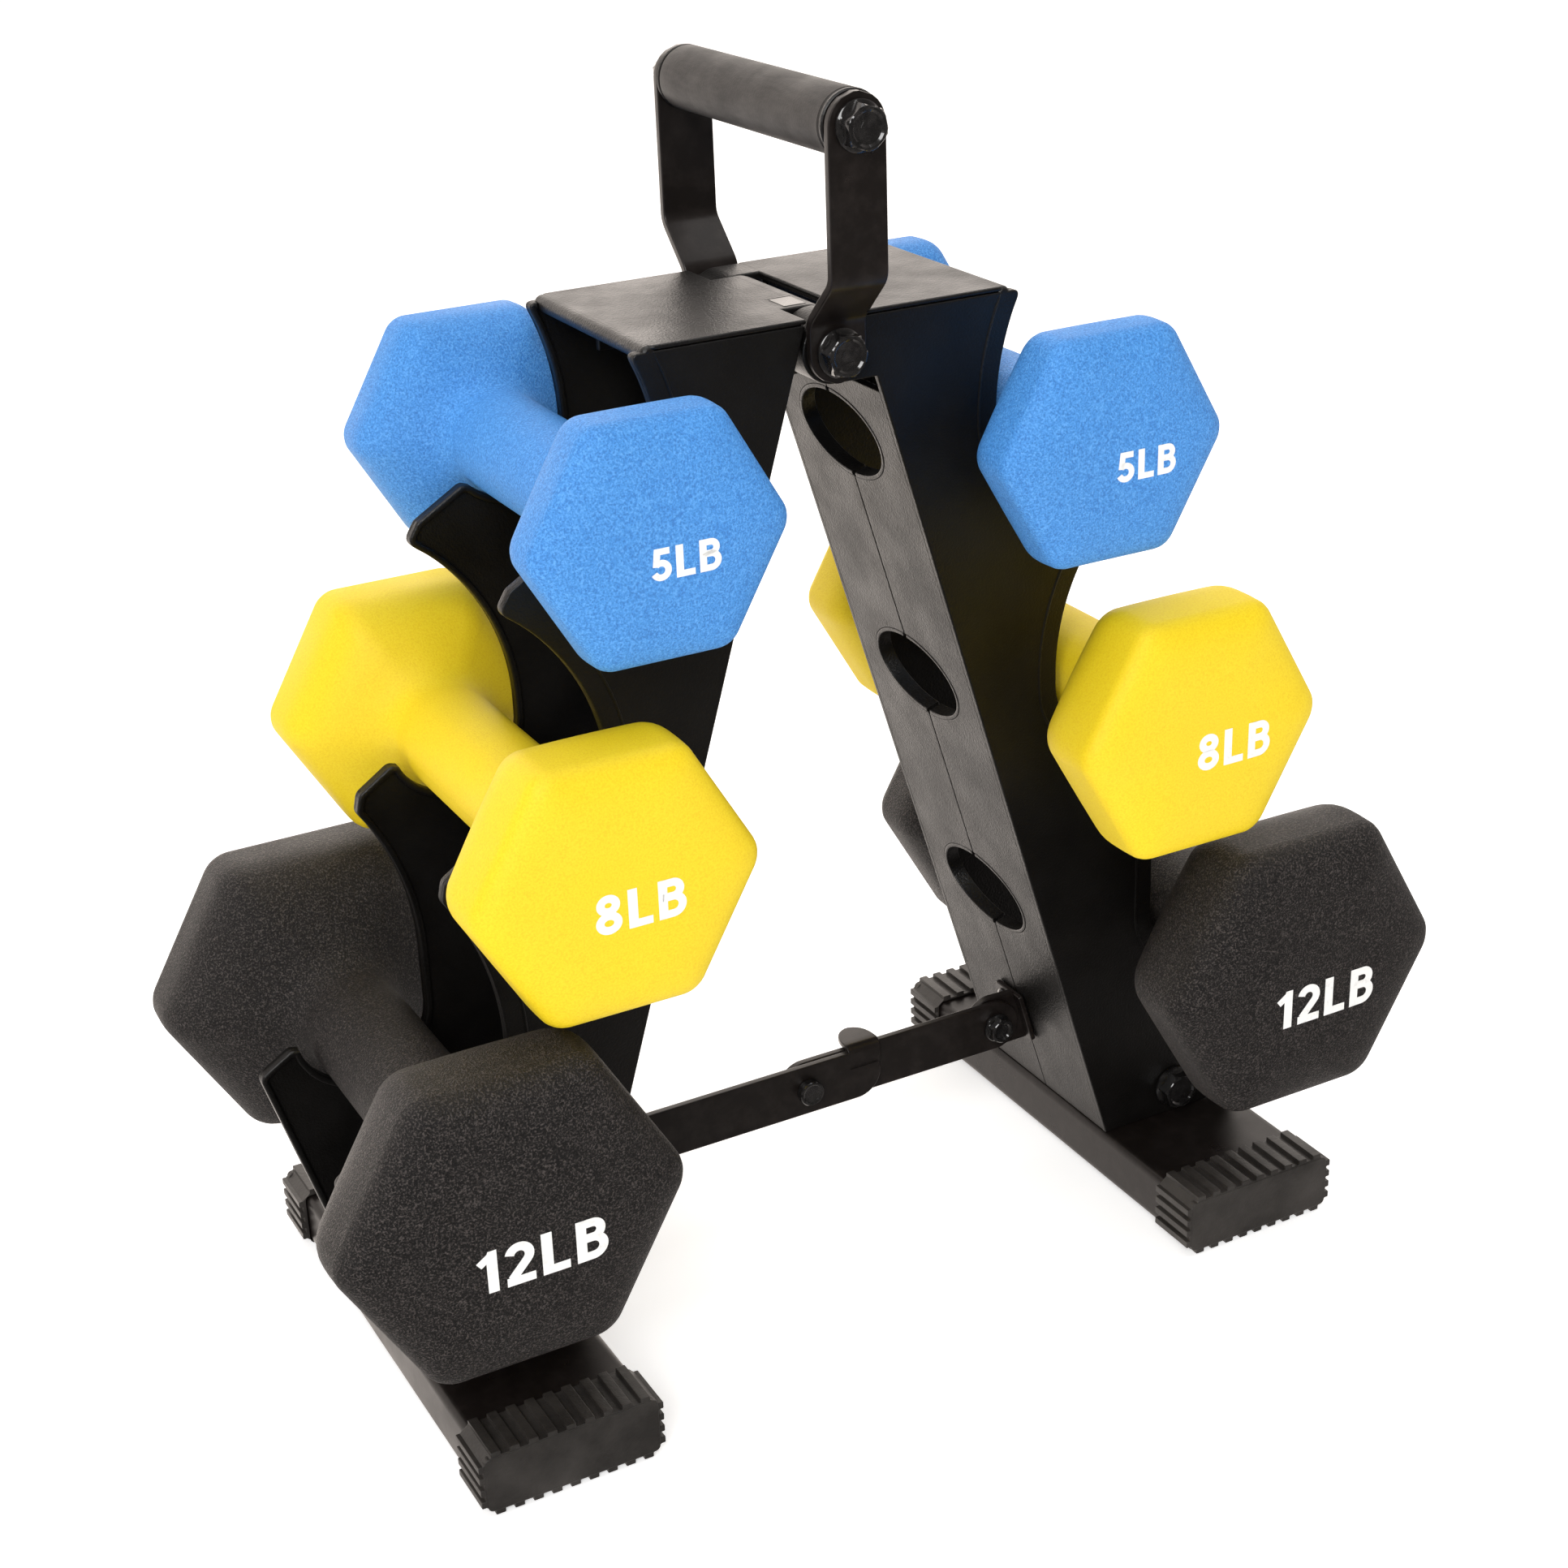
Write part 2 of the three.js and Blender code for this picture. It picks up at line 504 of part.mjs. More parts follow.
const hingeBore = rod(0, AXLE_Z, M8.shank + GAP, -THROUGH, THROUGH);
const hingeTube = rod(0, AXLE_Z, AXLE_R, -HALF_WIDTH, HALF_WIDTH, 24).subtract(hingeBore);
place("hinge_tube", hingeTube, "steel");
const strapFace = HALF_WIDTH + GAP + STRAP.thick;
for (const [end, side] of [["front", -1], ["rear", 1]]) {
  place(`hinge_bolt_${end}`, flangeBolt(0, AXLE_Z, side * strapFace, side, M8, HINGE_BOLT_LENGTH), "bolt");
  place(`handle_strap_${end}`, strap(side), "steel");
  const gripBolt = flangeBolt(0, STRAP.boltZ, side * STRAP.upperY, side, M8, GRIP_BOLT_LENGTH);
  place(`grip_bolt_${end}`, gripBolt, "bolt");
}
const gripHalf = STRAP.upperY - STRAP.thick - GAP;
place("grip_sleeve", sleeve(GRIP.radius, GRIP.core + GAP, gripHalf, 28), "foam");
place("grip_core_tube", sleeve(GRIP.core, GRIP.bore, gripHalf, 20), "steel");

place("left_spreader_link", leftLink(), "steel");
place("right_spreader_link", linkPlate(RIGHT_LINK_TAIL, RIGHT_LINK_Y), "steel", mirrored);
const rivetHead = rod(0, PIVOT.z, RIVET.head, LEFT_LINK_Y - GAP - RIVET.height, LEFT_LINK_Y - GAP);
const rivetShank = rod(0, PIVOT.z, M6.shank, LEFT_LINK_Y - 1, LEFT_LINK_Y + LINK_THICK, 12);
place("spreader_rivet", rivetHead.add(rivetShank), "bolt");
const tailBack = RIGHT_LINK_Y + LINK_THICK;
const tailDisc = rod(0, PIVOT.z, RIVET.tail, tailBack + GAP, tailBack + GAP + RIVET.tailHeight);
const tailShank = rod(0, PIVOT.z, M6.shank, RIGHT_LINK_Y, tailBack + 1, 12);
place("spreader_rivet_tail", tailDisc.add(tailShank), "bolt");

for (const { pounds, saddle } of CRADLES) {
  const body = dumbbell(DUMBBELLS[pounds]);
  const axisZ = saddle.z - saddle.r + SADDLE_GAP + DUMBBELLS[pounds].handle;
  for (const [name, side] of [["left", -1], ["right", 1]]) {
    const mesh = place(`${name}_dumbbell_${pounds}lb`, body, "coat", root, DUMBBELL_COLOURS[pounds]);
    mesh.position.set(side * saddle.x, 0, axisZ);
  }
}

export default root;
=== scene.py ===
"""Looks of the folding dumbbell rack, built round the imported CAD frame. Sizes are in millimetres."""
import math

import bmesh
import bpy
from mathutils import Matrix, Vector
from mathutils.bvhtree import BVHTree


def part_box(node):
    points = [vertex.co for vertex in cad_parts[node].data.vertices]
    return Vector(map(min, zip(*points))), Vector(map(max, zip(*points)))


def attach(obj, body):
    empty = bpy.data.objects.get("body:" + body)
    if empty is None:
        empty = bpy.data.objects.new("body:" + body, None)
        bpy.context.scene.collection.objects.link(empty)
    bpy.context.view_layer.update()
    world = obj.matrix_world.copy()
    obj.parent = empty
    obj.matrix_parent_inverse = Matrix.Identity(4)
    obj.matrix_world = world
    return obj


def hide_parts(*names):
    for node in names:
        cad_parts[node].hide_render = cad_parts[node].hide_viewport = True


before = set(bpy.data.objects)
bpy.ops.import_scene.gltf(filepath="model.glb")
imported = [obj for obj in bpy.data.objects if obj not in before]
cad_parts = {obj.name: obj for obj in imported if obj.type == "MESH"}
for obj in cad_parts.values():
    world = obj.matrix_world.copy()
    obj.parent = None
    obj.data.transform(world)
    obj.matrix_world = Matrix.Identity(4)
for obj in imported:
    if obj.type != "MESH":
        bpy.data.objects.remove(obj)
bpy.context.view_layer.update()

MM = 0.001


def lows(node):
    """Lowest corner of a CAD node, in millimetres."""
    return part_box(node)[0] / MM


def highs(node):
    """Highest corner of a CAD node, in millimetres."""
    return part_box(node)[1] / MM


# ---- sizes: the driving ones of the CAD model, and places read from the frame ----
ENDS = (("front", -1), ("rear", 1))
HALF_WIDTH = highs("right_leg_rear_shell").y
WALL = 2.6
GAP = 0.3
INNER_TOP = (17.5, 328.3)
INNER_BOTTOM = (109.9, 22.2)
SLOPE = (INNER_BOTTOM[0] - INNER_TOP[0]) / (INNER_TOP[1] - INNER_BOTTOM[1])
LEAN = math.atan(SLOPE)
LEG_FOOT_X = 167.9
TOP_Z = highs("right_leg_head").z
TOP_OUTER_X = highs("right_leg_head").x
EDGE_PLATE = 1.7
HINGE = highs("hinge_tube") / 2 + lows("hinge_tube") / 2
KNUCKLE_R = 11
KNUCKLE_SPLIT_Y = 25
WEB_X = (12, 52)
WEB_DEPTH = 17
OVAL_HEIGHTS = (304.1, 210.1, 117.0)
OVAL_HALF_Y = 27
OVAL_HALF_SLOPE = 17
HOOKS_TOP_Z = 353
# From the top down: saddle x, z, radius; sweep z, radius; lip x, z; tip x, z; bead line from z to z.
CRADLES = (
    dict(saddle=(80.5, 311.2, 20), sweep=(314, 90), lip=(94.6, 297), tip=(115.5, 285.5), bead=(308, 354)),
    dict(saddle=(108, 213.2, 23), sweep=(218, 77), lip=(129.1, 204), tip=(145.2, 194.5), bead=(210, 262)),
    dict(saddle=(152.1, 113.2, 24), sweep=(134, 100), lip=(175.4, 107.4), tip=(191.5, 98.5), bead=(128, 176)),
)
DUMBBELLS = {
    5: dict(flat=76.6, face=84.4, head=27.4, handle=17.0, neck=15),
    8: dict(flat=86.0, face=100.0, head=36.8, handle=17.7, neck=20),
    12: dict(flat=104.2, face=107.2, head=38.4, handle=18.1, neck=24),
}
# Weight marks: place beside the middle on the left and the right dumbbell, height, and figure height.
MARKS = {
    5: dict(left=5, right=9, z=-5.1, size=10),
    8: dict(left=4, right=9, z=-4.4, size=13),
    12: dict(left=5, right=5, z=-9, size=15),
}
CORNER_SHARE = 0.22
FACE_EDGE = 0.17
PIVOT = (84, 58.5)
LINK_HALF = 10
LINK_THICK = 2.8
LINK_HOLE_R = 3.2
FRONT_LINK_TAIL = 31
REAR_LINK_TAIL = 10
FOOT_BOLT = (140.3, 34)
BRACKET_HALF = 11
BRACKET_THICK = 2
EAR_Y = (-0.8, 2.2)
STRAP_THICK = 3
STRAP_BENDS_Z = (355.3, 370)
GRIP_RING = 1.8
M8 = dict(flat=13, flange=8, height=6.5, shank=3.9)
M6 = dict(flat=9, flange=5.6, height=4.8, shank=2.9)


# ---- materials ----
def preset(node, **values):
    """Gives a node's inputs their values; an underscore stands for a space in an input's name."""
    for name, value in values.items():
        node.inputs[name.replace("_", " ")].default_value = value


def ramp(tree, source, stops):
    """A colour ramp on source; stops are (position, colour)."""
    node = tree.nodes.new("ShaderNodeValToRGB")
    elements = node.color_ramp.elements
    while len(elements) < len(stops):
        elements.new(0.5)
    for element, (position, colour) in zip(elements, stops):
        element.position = position
        element.color = (*colour, 1)
    tree.links.new(source, node.inputs["Fac"])
    return node.outputs["Color"]


class Look:
    """A material in the making, whose colour, roughness and relief come from noises."""

    def __init__(self, name):
        self.material = bpy.data.materials.new(name)
        self.material.use_nodes = True
        self.tree = self.material.node_tree
        self.shader = self.tree.nodes["Principled BSDF"]

    def noise(self, scale, detail=3.0, rough=0.55, stretch=(1, 1, 1)):
        """A noise in the object's own coordinates; scale is in features per metre."""
        where = self.tree.nodes.new("ShaderNodeTexCoord")
        mapping = self.tree.nodes.new("ShaderNodeMapping")
        preset(mapping, Scale=stretch)
        texture = self.tree.nodes.new("ShaderNodeTexNoise")
        preset(texture, Scale=scale, Detail=detail, Roughness=rough)
        self.tree.links.new(where.outputs["Object"], mapping.inputs["Vector"])
        self.tree.links.new(mapping.outputs["Vector"], texture.inputs["Vector"])
        return texture.outputs["Fac"]

    def colour(self, source, stops):
        """Colour from a ramp on source."""
        self.tree.links.new(ramp(self.tree, source, stops), self.shader.inputs["Base Color"])

    def roughness(self, source, low, high):
        """Roughness from low to high, while source goes from 0.3 to 0.7."""
        node = self.tree.nodes.new("ShaderNodeMapRange")
        preset(node, From_Min=0.3, From_Max=0.7, To_Min=low, To_Max=high)
        self.tree.links.new(source, node.inputs["Value"])
        self.tree.links.new(node.outputs["Result"], self.shader.inputs["Roughness"])

    def relief(self, *heights):
        """Bumps on top of each other; each is (height output, strength, distance in mm)."""
        normal = None
        for height, strength, distance in heights:
            node = self.tree.nodes.new("ShaderNodeBump")
            preset(node, Strength=strength, Distance=distance * MM)
            self.tree.links.new(height, node.inputs["Height"])
            if normal is not None:
                self.tree.links.new(normal, node.inputs["Normal"])
            normal = node.outputs["Normal"]
        self.tree.links.new(normal, self.shader.inputs["Normal"])


def moulded_plastic(name, dark, light, rough, grain, depth):
    """Moulded plastic with a fine spark-eroded grain, faint flow marks and scuffs."""
    look = Look(name)
    look.colour(look.noise(35, 5, 0.65), ((0.35, dark), (0.7, light)))
    look.roughness(look.noise(60, 4), *rough)
    preset(look.shader, Specular_IOR_Level=0.5)
    look.relief((look.noise(90, 2, 0.5), 0.08, 0.2), (look.noise(grain, 2, 0.6), 0.7, depth))
    return look.material


def coated_steel(name, colour, rough):
    """Powder-coated steel: satin, with a light orange peel and small rubbed spots."""
    look = Look(name)
    lighter = tuple(c * 1.9 + 0.004 for c in colour)
    look.colour(look.noise(120, 6, 0.7), ((0.45, colour), (0.78, lighter)))
    look.roughness(look.noise(45, 4), *rough)
    preset(look.shader, Metallic=0.25)
    look.relief((look.noise(1400, 2, 0.5), 0.3, 0.06))
    return look.material


def black_oxide(name):
    """Glossy black fasteners with worn, brighter patches."""
    look = Look(name)
    look.colour(look.noise(260, 5, 0.7), ((0.45, (0.01, 0.0095, 0.0095)), (0.85, (0.045, 0.042, 0.041))))
    look.roughness(look.noise(150, 4), 0.08, 0.2)
    preset(look.shader, Metallic=0.3, Coat_Weight=0.6, Coat_Roughness=0.06)
    look.relief((look.noise(300, 2), 0.08, 0.03))
    return look.material


def neoprene(name, dark, main, light, rough=(0.5, 0.68), relief=0.3):
    """Dipped neoprene over cast iron: an even sandy grain over soft waves."""
    look = Look(name)
    tree = look.tree
    cloud = look.noise(26, 4, 0.5)
    grain = look.noise(1500, 2, 0.7)
    mix = tree.nodes.new("ShaderNodeMix")
    mix.data_type = "RGBA"
    preset(mix, Factor=0.8)
    shaded = tuple(c * 0.93 for c in main)
    tree.links.new(ramp(tree, cloud, ((0.3, shaded), (0.7, main))), mix.inputs["A"])
    tree.links.new(ramp(tree, grain, ((0.36, dark), (0.5, main), (0.68, light))), mix.inputs["B"])
    tree.links.new(mix.outputs["Result"], look.shader.inputs["Base Color"])
    look.roughness(cloud, *rough)
    preset(look.shader, Specular_IOR_Level=0.4)
    look.relief((look.noise(55, 2, 0.5), 0.2, 0.5), (grain, 0.9, relief))
    return look.material


def paint(name, colour):
    """Printed paint: matte, with slightly worn patches."""
    look = Look(name)
    worn = tuple(c * 0.82 for c in colour)
    look.colour(look.noise(500, 4, 0.7), ((0.25, worn), (0.45, colour)))
    preset(look.shader, Roughness=0.55)
    look.relief((look.noise(1050, 3), 0.35, 0.15))
    return look.material


def hard_foam(name, dark, light):
    """Hard foam sleeve: matte, with short streaks round the grip."""
    look = Look(name)
    look.colour(look.noise(500, 5, 0.65, stretch=(1, 0.25, 1)), ((0.3, dark), (0.72, light)))
    look.roughness(look.noise(70, 4), 0.5, 0.66)
    look.relief((look.noise(1300, 3), 0.5, 0.14))
    return look.material


MATERIALS = {
    "leg_plastic": moulded_plastic("leg_plastic", (0.0016, 0.0013, 0.0011), (0.0042, 0.0034, 0.0028),
                                   (0.36, 0.48), 1150, 0.3),
    "insert": moulded_plastic("insert", (0.012, 0.011, 0.010), (0.03, 0.027, 0.025), (0.24, 0.34), 600, 0.03),
    "foot_cap": moulded_plastic("foot_cap", (0.02, 0.0175, 0.0155), (0.055, 0.049, 0.044),
                                (0.34, 0.5), 800, 0.14),
    "coated_steel": coated_steel("coated_steel", (0.0115, 0.0085, 0.0074), (0.26, 0.4)),
    "fastener": black_oxide("fastener"),
    "grip": hard_foam("grip", (0.015, 0.013, 0.0115), (0.038, 0.033, 0.03)),
    "coat_5lb": neoprene("coat_5lb", (0.035, 0.175, 0.54), (0.06, 0.29, 0.74), (0.15, 0.44, 0.9), relief=0.5),
    "coat_8lb": neoprene("coat_8lb", (0.84, 0.58, 0.006), (0.9, 0.66, 0.009), (0.92, 0.7, 0.02), relief=0.12),
    "coat_12lb": neoprene("coat_12lb", (0.0012, 0.001, 0.0009), (0.0072, 0.0058, 0.0054),
                          (0.105, 0.088, 0.082), rough=(0.46, 0.6), relief=0.9),
}
WHITE_PAINT = paint("weight_mark_paint", (0.9, 0.9, 0.88))


# ---- mesh helpers ----
def added(name, data):
    """A new object in the scene."""
    obj = bpy.data.objects.new(name, data)
    bpy.context.scene.collection.objects.link(obj)
    return obj


def mesh_of(verts, faces):
    """A mesh of points in millimetres."""
    mesh = bpy.data.meshes.new("part")
    mesh.from_pydata([tuple(c * MM for c in v) for v in verts], [], faces)
    mesh.update()
    return mesh


def arc(x, z, radius, start, end, steps):
    """Points of an arc, in degrees from the first axis."""
    angles = [math.radians(start + (end - start) * i / steps) for i in range(steps + 1)]
    return [(x + radius * math.cos(a), z + radius * math.sin(a)) for a in angles]


def turns(count):
    """The angles of equal steps round a full turn."""
    return [2 * math.pi * i / count for i in range(count)]


def direction(path, i):
    """The direction of a path at its point i."""
    ahead = Vector(path[min(i + 1, len(path) - 1)])
    behind = Vector(path[max(i - 1, 0)])
    return (ahead - behind).normalized()


def rounded(corners, steps=5):
    """A closed outline; each corner is (x, z) or (x, z, radius) and is rounded by that radius."""
    points = []
    count = len(corners)
    for i, corner in enumerate(corners):
        here = Vector(corner[:2])
        radius = corner[2] if len(corner) > 2 else 0
        if radius == 0:
            points.append(tuple(here))
            continue
        before = Vector(corners[i - 1][:2]) - here
        after = Vector(corners[(i + 1) % count][:2]) - here
        half = before.angle(after) / 2
        reach = min(radius / math.tan(half), before.length * 0.49, after.length * 0.49)
        start = here + before.normalized() * reach
        end = here + after.normalized() * reach
        for k in range(steps + 1):
            t = k / steps
            points.append(tuple(start * (1 - t) ** 2 + here * 2 * t * (1 - t) + end * t ** 2))
    return points


def rectangle(x0, x1, z0, z1, radius, steps=5):
    """The outline of a rectangle with rounded corners."""
    return rounded([(x0, z0, radius), (x1, z0, radius), (x1, z1, radius), (x0, z1, radius)], steps)


def plate(loops, thickness, edge, steps=2):
    """A flat sheet in the XY plane, centred in Z, with holes and rounded edges."""
    curve = bpy.data.curves.new("outline", "CURVE")
    curve.dimensions = "2D"
    curve.fill_mode = "BOTH"
    for loop in loops:
        spline = curve.splines.new("POLY")
        spline.points.add(len(loop) - 1)
        for point, (x, y) in zip(spline.points, loop):
            point.co = (x * MM, y * MM, 0, 1)
        spline.use_cyclic_u = True
    curve.extrude = (thickness / 2 - edge) * MM
    curve.bevel_depth = edge * MM
    curve.bevel_resolution = steps
    curve.offset = -edge * MM
    holder = added("outline", curve)
    bpy.context.view_layer.update()
    evaluated = holder.evaluated_get(bpy.context.evaluated_depsgraph_get())
    mesh = bpy.data.meshes.new_from_object(evaluated)
    bpy.data.objects.remove(holder)
    return tidy(mesh)


def tidy(mesh):
    """Welds a mesh and turns its faces outwards."""
    work = bmesh.new()
    work.from_mesh(mesh)
    bmesh.ops.remove_doubles(work, verts=work.verts, dist=0.00001)
    bmesh.ops.recalc_face_normals(work, faces=work.faces)
    work.to_mesh(mesh)
    work.free()
    return mesh


# A plate's own X, Y and Z laid along the row's axes: standing in XZ, or lying in XY.
STANDING = Matrix(((1, 0, 0), (0, 0, -1), (0, 1, 0))).to_4x4()
LYING = Matrix.Identity(4)


def placed(mesh, x=0, y=0, z=0, turn=LYING):
    """The same mesh, turned and then moved."""
    mesh.transform(Matrix.Translation(Vector((x, y, z)) * MM) @ turn)
    return mesh


def standing(loops, y0, y1, edge, steps=2):
    """A sheet in the XZ plane from y0 to y1."""
    return placed(plate(loops, abs(y1 - y0), edge, steps), y=(y0 + y1) / 2, turn=STANDING)


def mirrored(mesh):
    """The same mesh, on the other side of the rack."""
    mesh.transform(Matrix.Scale(-1, 4, (1, 0, 0)))
    mesh.flip_normals()
    return mesh


def joined(meshes):
    """One mesh of several; the parts are removed."""
    work = bmesh.new()
    for mesh in meshes:
        work.from_mesh(mesh)
        bpy.data.meshes.remove(mesh)
    whole = bpy.data.meshes.new("part")
    work.to_mesh(whole)
    work.free()
    return whole


def swept(rings):
    """A closed body through rings of equal point counts, each a list of (x, y, z)."""
    count = len(rings[0])
    verts = [point for ring in rings for point in ring]
    faces = []
    for r in range(len(rings) - 1):
        for i in range(count):
            j = (i + 1) % count
            faces.append((r * count + i, r * count + j, (r + 1) * count + j, (r + 1) * count + i))
    faces.append(tuple(range(count)))
    faces.append(tuple(range(len(verts) - count, len(verts))))
    return tidy(mesh_of(verts, faces))


def turned(profile, x, z, sides):
    """A body turned about an axis along Y through (x, z); profile is (y, radius)."""
    return swept([[(x + radius * math.cos(a), y, z + radius * math.sin(a)) for a in turns(sides)]
                  for y, radius in profile])


def weighted_normals(mesh, smooth_angle):
    """Shades soft edges smoothly while the large faces beside them stay flat."""
    limit = math.cos(math.radians(smooth_angle))
    around = [[] for _ in mesh.vertices]
    faces = [(face.normal.copy(), face.area) for face in mesh.polygons]
    for face in mesh.polygons:
        for vertex in face.vertices:
            around[vertex].append(face.index)
    normals = []
    for face in mesh.polygons:
        own = faces[face.index][0]
        for vertex in face.vertices:
            total = Vector()
            for other in around[vertex]:
                normal, area = faces[other]
                if own.dot(normal) > limit:
                    total += normal * area
            normals.append(total.normalized())
    mesh.normals_split_custom_set(normals)


def piece(name, mesh, slot, body, replaced, material=None, smooth_angle=35):
    """A finished piece on a body, standing for CAD nodes, in its slot's material or one of its own."""
    mesh.materials.append(material or MATERIALS[slot])
    mesh.shade_smooth()
    mesh.set_sharp_from_angle(angle=math.radians(smooth_angle))
    weighted_normals(mesh, smooth_angle)
    obj = added(name, mesh)
    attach(obj, body)
    if replaced:
        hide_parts(*replaced)
    return obj


# ---- legs ----
def inner_x(z):
    """Where the slanted inner wall stands at a height."""
    return INNER_TOP[0] + (INNER_TOP[1] - z) * SLOPE


def hooked_edge():
    """The outer edge of a side wall from the top down: sweeps, saddles and finger tips."""
    points = []
    start_z = HOOKS_TOP_Z
    for cradle in CRADLES:
        x, z, radius = cradle["saddle"]
        sweep_z, sweep_r = cradle["sweep"]
        lip_x, lip_z = cradle["lip"]
        tip_x, tip_z = cradle["tip"]
        centre = x - radius + sweep_r
        start = 180 - math.degrees(math.asin((start_z - sweep_z) / sweep_r))
        begin = arc(centre, sweep_z, sweep_r, start, 180, 1)[0]
        points.append((*begin, 3.4))
        start = 180 - math.degrees(math.asin((start_z - 5 - sweep_z) / sweep_r))
        points += arc(centre, sweep_z, sweep_r, start, 180, 20)
        lip_angle = math.degrees(math.atan2(lip_z - z, lip_x - x))
        points += arc(x, z, radius, 180, 360 + lip_angle, 28)
        points += [(lip_x + 3, lip_z + 1, 4), (tip_x - 1, tip_z + 2.4, 4)]
        start_z = tip_z - 4
    return points


def side_outline(cheeked):
    """A side wall; the cheeked one also covers the hinge knuckle."""
    top = TOP_Z - EDGE_PLATE
    corners = hooked_edge()
    corners[0] = (corners[0][0] + 0.6, top, 4.5)
    corners += [(LEG_FOOT_X, INNER_BOTTOM[1], 1), (*INNER_BOTTOM, 0)]
    if cheeked:
        bottom = HINGE.z - KNUCKLE_R
        turn = math.degrees(math.asin((top - HINGE.z) / KNUCKLE_R))
        corners += [(inner_x(bottom), bottom, 1), *arc(0, HINGE.z, KNUCKLE_R, 270, 180 - turn, 20)]
    else:
        corners.append((inner_x(top), top, 1))
    return rounded(corners)


def edge_rim(outline, side):
    """The thickened rim that follows the hooked edge, on the inside of a side wall."""
    foot = max(i for i, (x, z) in enumerate(outline) if x > LEG_FOOT_X - 1.9 and z < INNER_BOTTOM[1] + 1.8)
    path = outline[:foot]
    section = rounded([(0, 0, 0.7), (2.3, 0, 0.2), (2.3, 4.4, 0.7), (0, 4.4, 0.9)], 3)
    rings = []
    for i, (x, z) in enumerate(path):
        along = direction(path, i)
        rings.append([(x + along.y * u, side * (HALF_WIDTH - 0.02 - v), z - along.x * u) for u, v in section])
    return swept(rings)


def bead_line(side):
    """The thin raised line on a side wall, a few millimetres inside its hooked edge."""
    inset = 7
    meshes = []
    for cradle in CRADLES:
        x, z, radius = cradle["saddle"]
        sweep_z, sweep_r = cradle["sweep"]
        low, high = cradle["bead"]
        centre = x - radius + sweep_r
        reach = sweep_r + inset
        points = []
        for i in range(25):
            height = high + (low - high) * i / 24
            points.append((centre - math.sqrt(reach ** 2 - (height - sweep_z) ** 2), height))
        points += [point for point in arc(x, z, radius + inset, 180, 225, 8) if point[1] < low]
        rings = []
        for i, (px, pz) in enumerate(points):
            across = direction(points, i).orthogonal()
            taper = min(1, i / 3 + 0.25, (len(points) - 1 - i) / 3 + 0.25)
            ring = []
            for angle in turns(8):
                out = 0.55 * taper * math.cos(angle)
                rise = 0.45 * taper * math.sin(angle)
                ring.append((px + across.x * out, side * (HALF_WIDTH - 0.05 + rise), pz + across.y * out))
            rings.append(ring)
        meshes.append(swept(rings))
    return meshes


def half_ellipse(centre, half_along, half_y, side, start, end, steps=32):
    """Points (y, along) of half an ellipse on one side of the seam."""
    points = []
    for i in range(steps + 1):
        angle = math.radians(start + (end - start) * i / steps)
        points.append((side * half_y * math.sin(angle), centre + half_along * math.cos(angle)))
    return points


def panel_frame():
    """Places a sheet drawn in (y, distance down the slope) on the leg's inner wall."""
    down = Vector((math.sin(LEAN), 0, -math.cos(LEAN)))
    across = Vector((0, 1, 0))
    outward = across.cross(down)
    turn = Matrix((across, down, outward)).transposed().to_4x4()
    return Matrix.Translation(Vector((INNER_TOP[0], 0, INNER_TOP[1])) * MM) @ turn


def oval_places():
    """Distances of the window centres down the slope."""
    return [(INNER_TOP[1] - z) / math.cos(LEAN) for z in OVAL_HEIGHTS]


def inner_panel(side):
    """Half of the inner wall, with half of each oval window, its lip and its collar."""
    length = (INNER_TOP[1] - INNER_BOTTOM[1]) / math.cos(LEAN)
    seam = side * GAP / 3
    edge = side * (HALF_WIDTH - 2.1)
    outline = [(seam, 0.3), (edge, 0.3), (edge, length), (seam, length)]
    for centre in reversed(oval_places()):
        outline += half_ellipse(centre, OVAL_HALF_SLOPE, OVAL_HALF_Y, side, 0, 180)
    outline = [(seam if abs(y) < abs(seam) else y, t) for y, t in outline]
    meshes = [placed(plate([outline], WALL, 0.45), z=-WALL / 2)]
    for centre in oval_places():
        lip = half_ellipse(centre, OVAL_HALF_SLOPE + 0.05, OVAL_HALF_Y + 0.05, side, 2, 178)
        inner = half_ellipse(centre, OVAL_HALF_SLOPE - 1.5, OVAL_HALF_Y - 1.5, side, 178, 2)
        meshes.append(placed(plate([lip + inner], 5.5, 0.4), z=-2.6))
    mesh = joined(meshes)
    mesh.transform(panel_frame())
    return tidy(mesh)


def leg_shell(side, cheeked):
    """One moulded half of a leg: its side wall, rim and bead lines, and its half of the inner wall."""
    outline = side_outline(cheeked)
    wall = standing([outline], side * (HALF_WIDTH - WALL), side * HALF_WIDTH, 0.6, 3)
    return joined([wall, edge_rim(outline, side), inner_panel(side), *bead_line(side)])


def block(x0, x1, y0, y1, z0, z1, radius=0.8):
    """A box with rounded edges, drawn as a thick plate lying in XY."""
    mesh = plate([rectangle(x0, x1, y0, y1, radius * 1.5)], z1 - z0, radius)
    return placed(mesh, z=(z0 + z1) / 2)


def knuckle(y0, y1):
    """A hinge knuckle with rounded ends."""
    ends = [(0, 0.8), (0.24, 0.24), (0.8, 0)]
    profile = [(y0 + y, KNUCKLE_R - drop) for y, drop in ends]
    profile += [(y1 - y, KNUCKLE_R - drop) for y, drop in reversed(ends)]
    return turned(profile, 0, HINGE.z, 72)


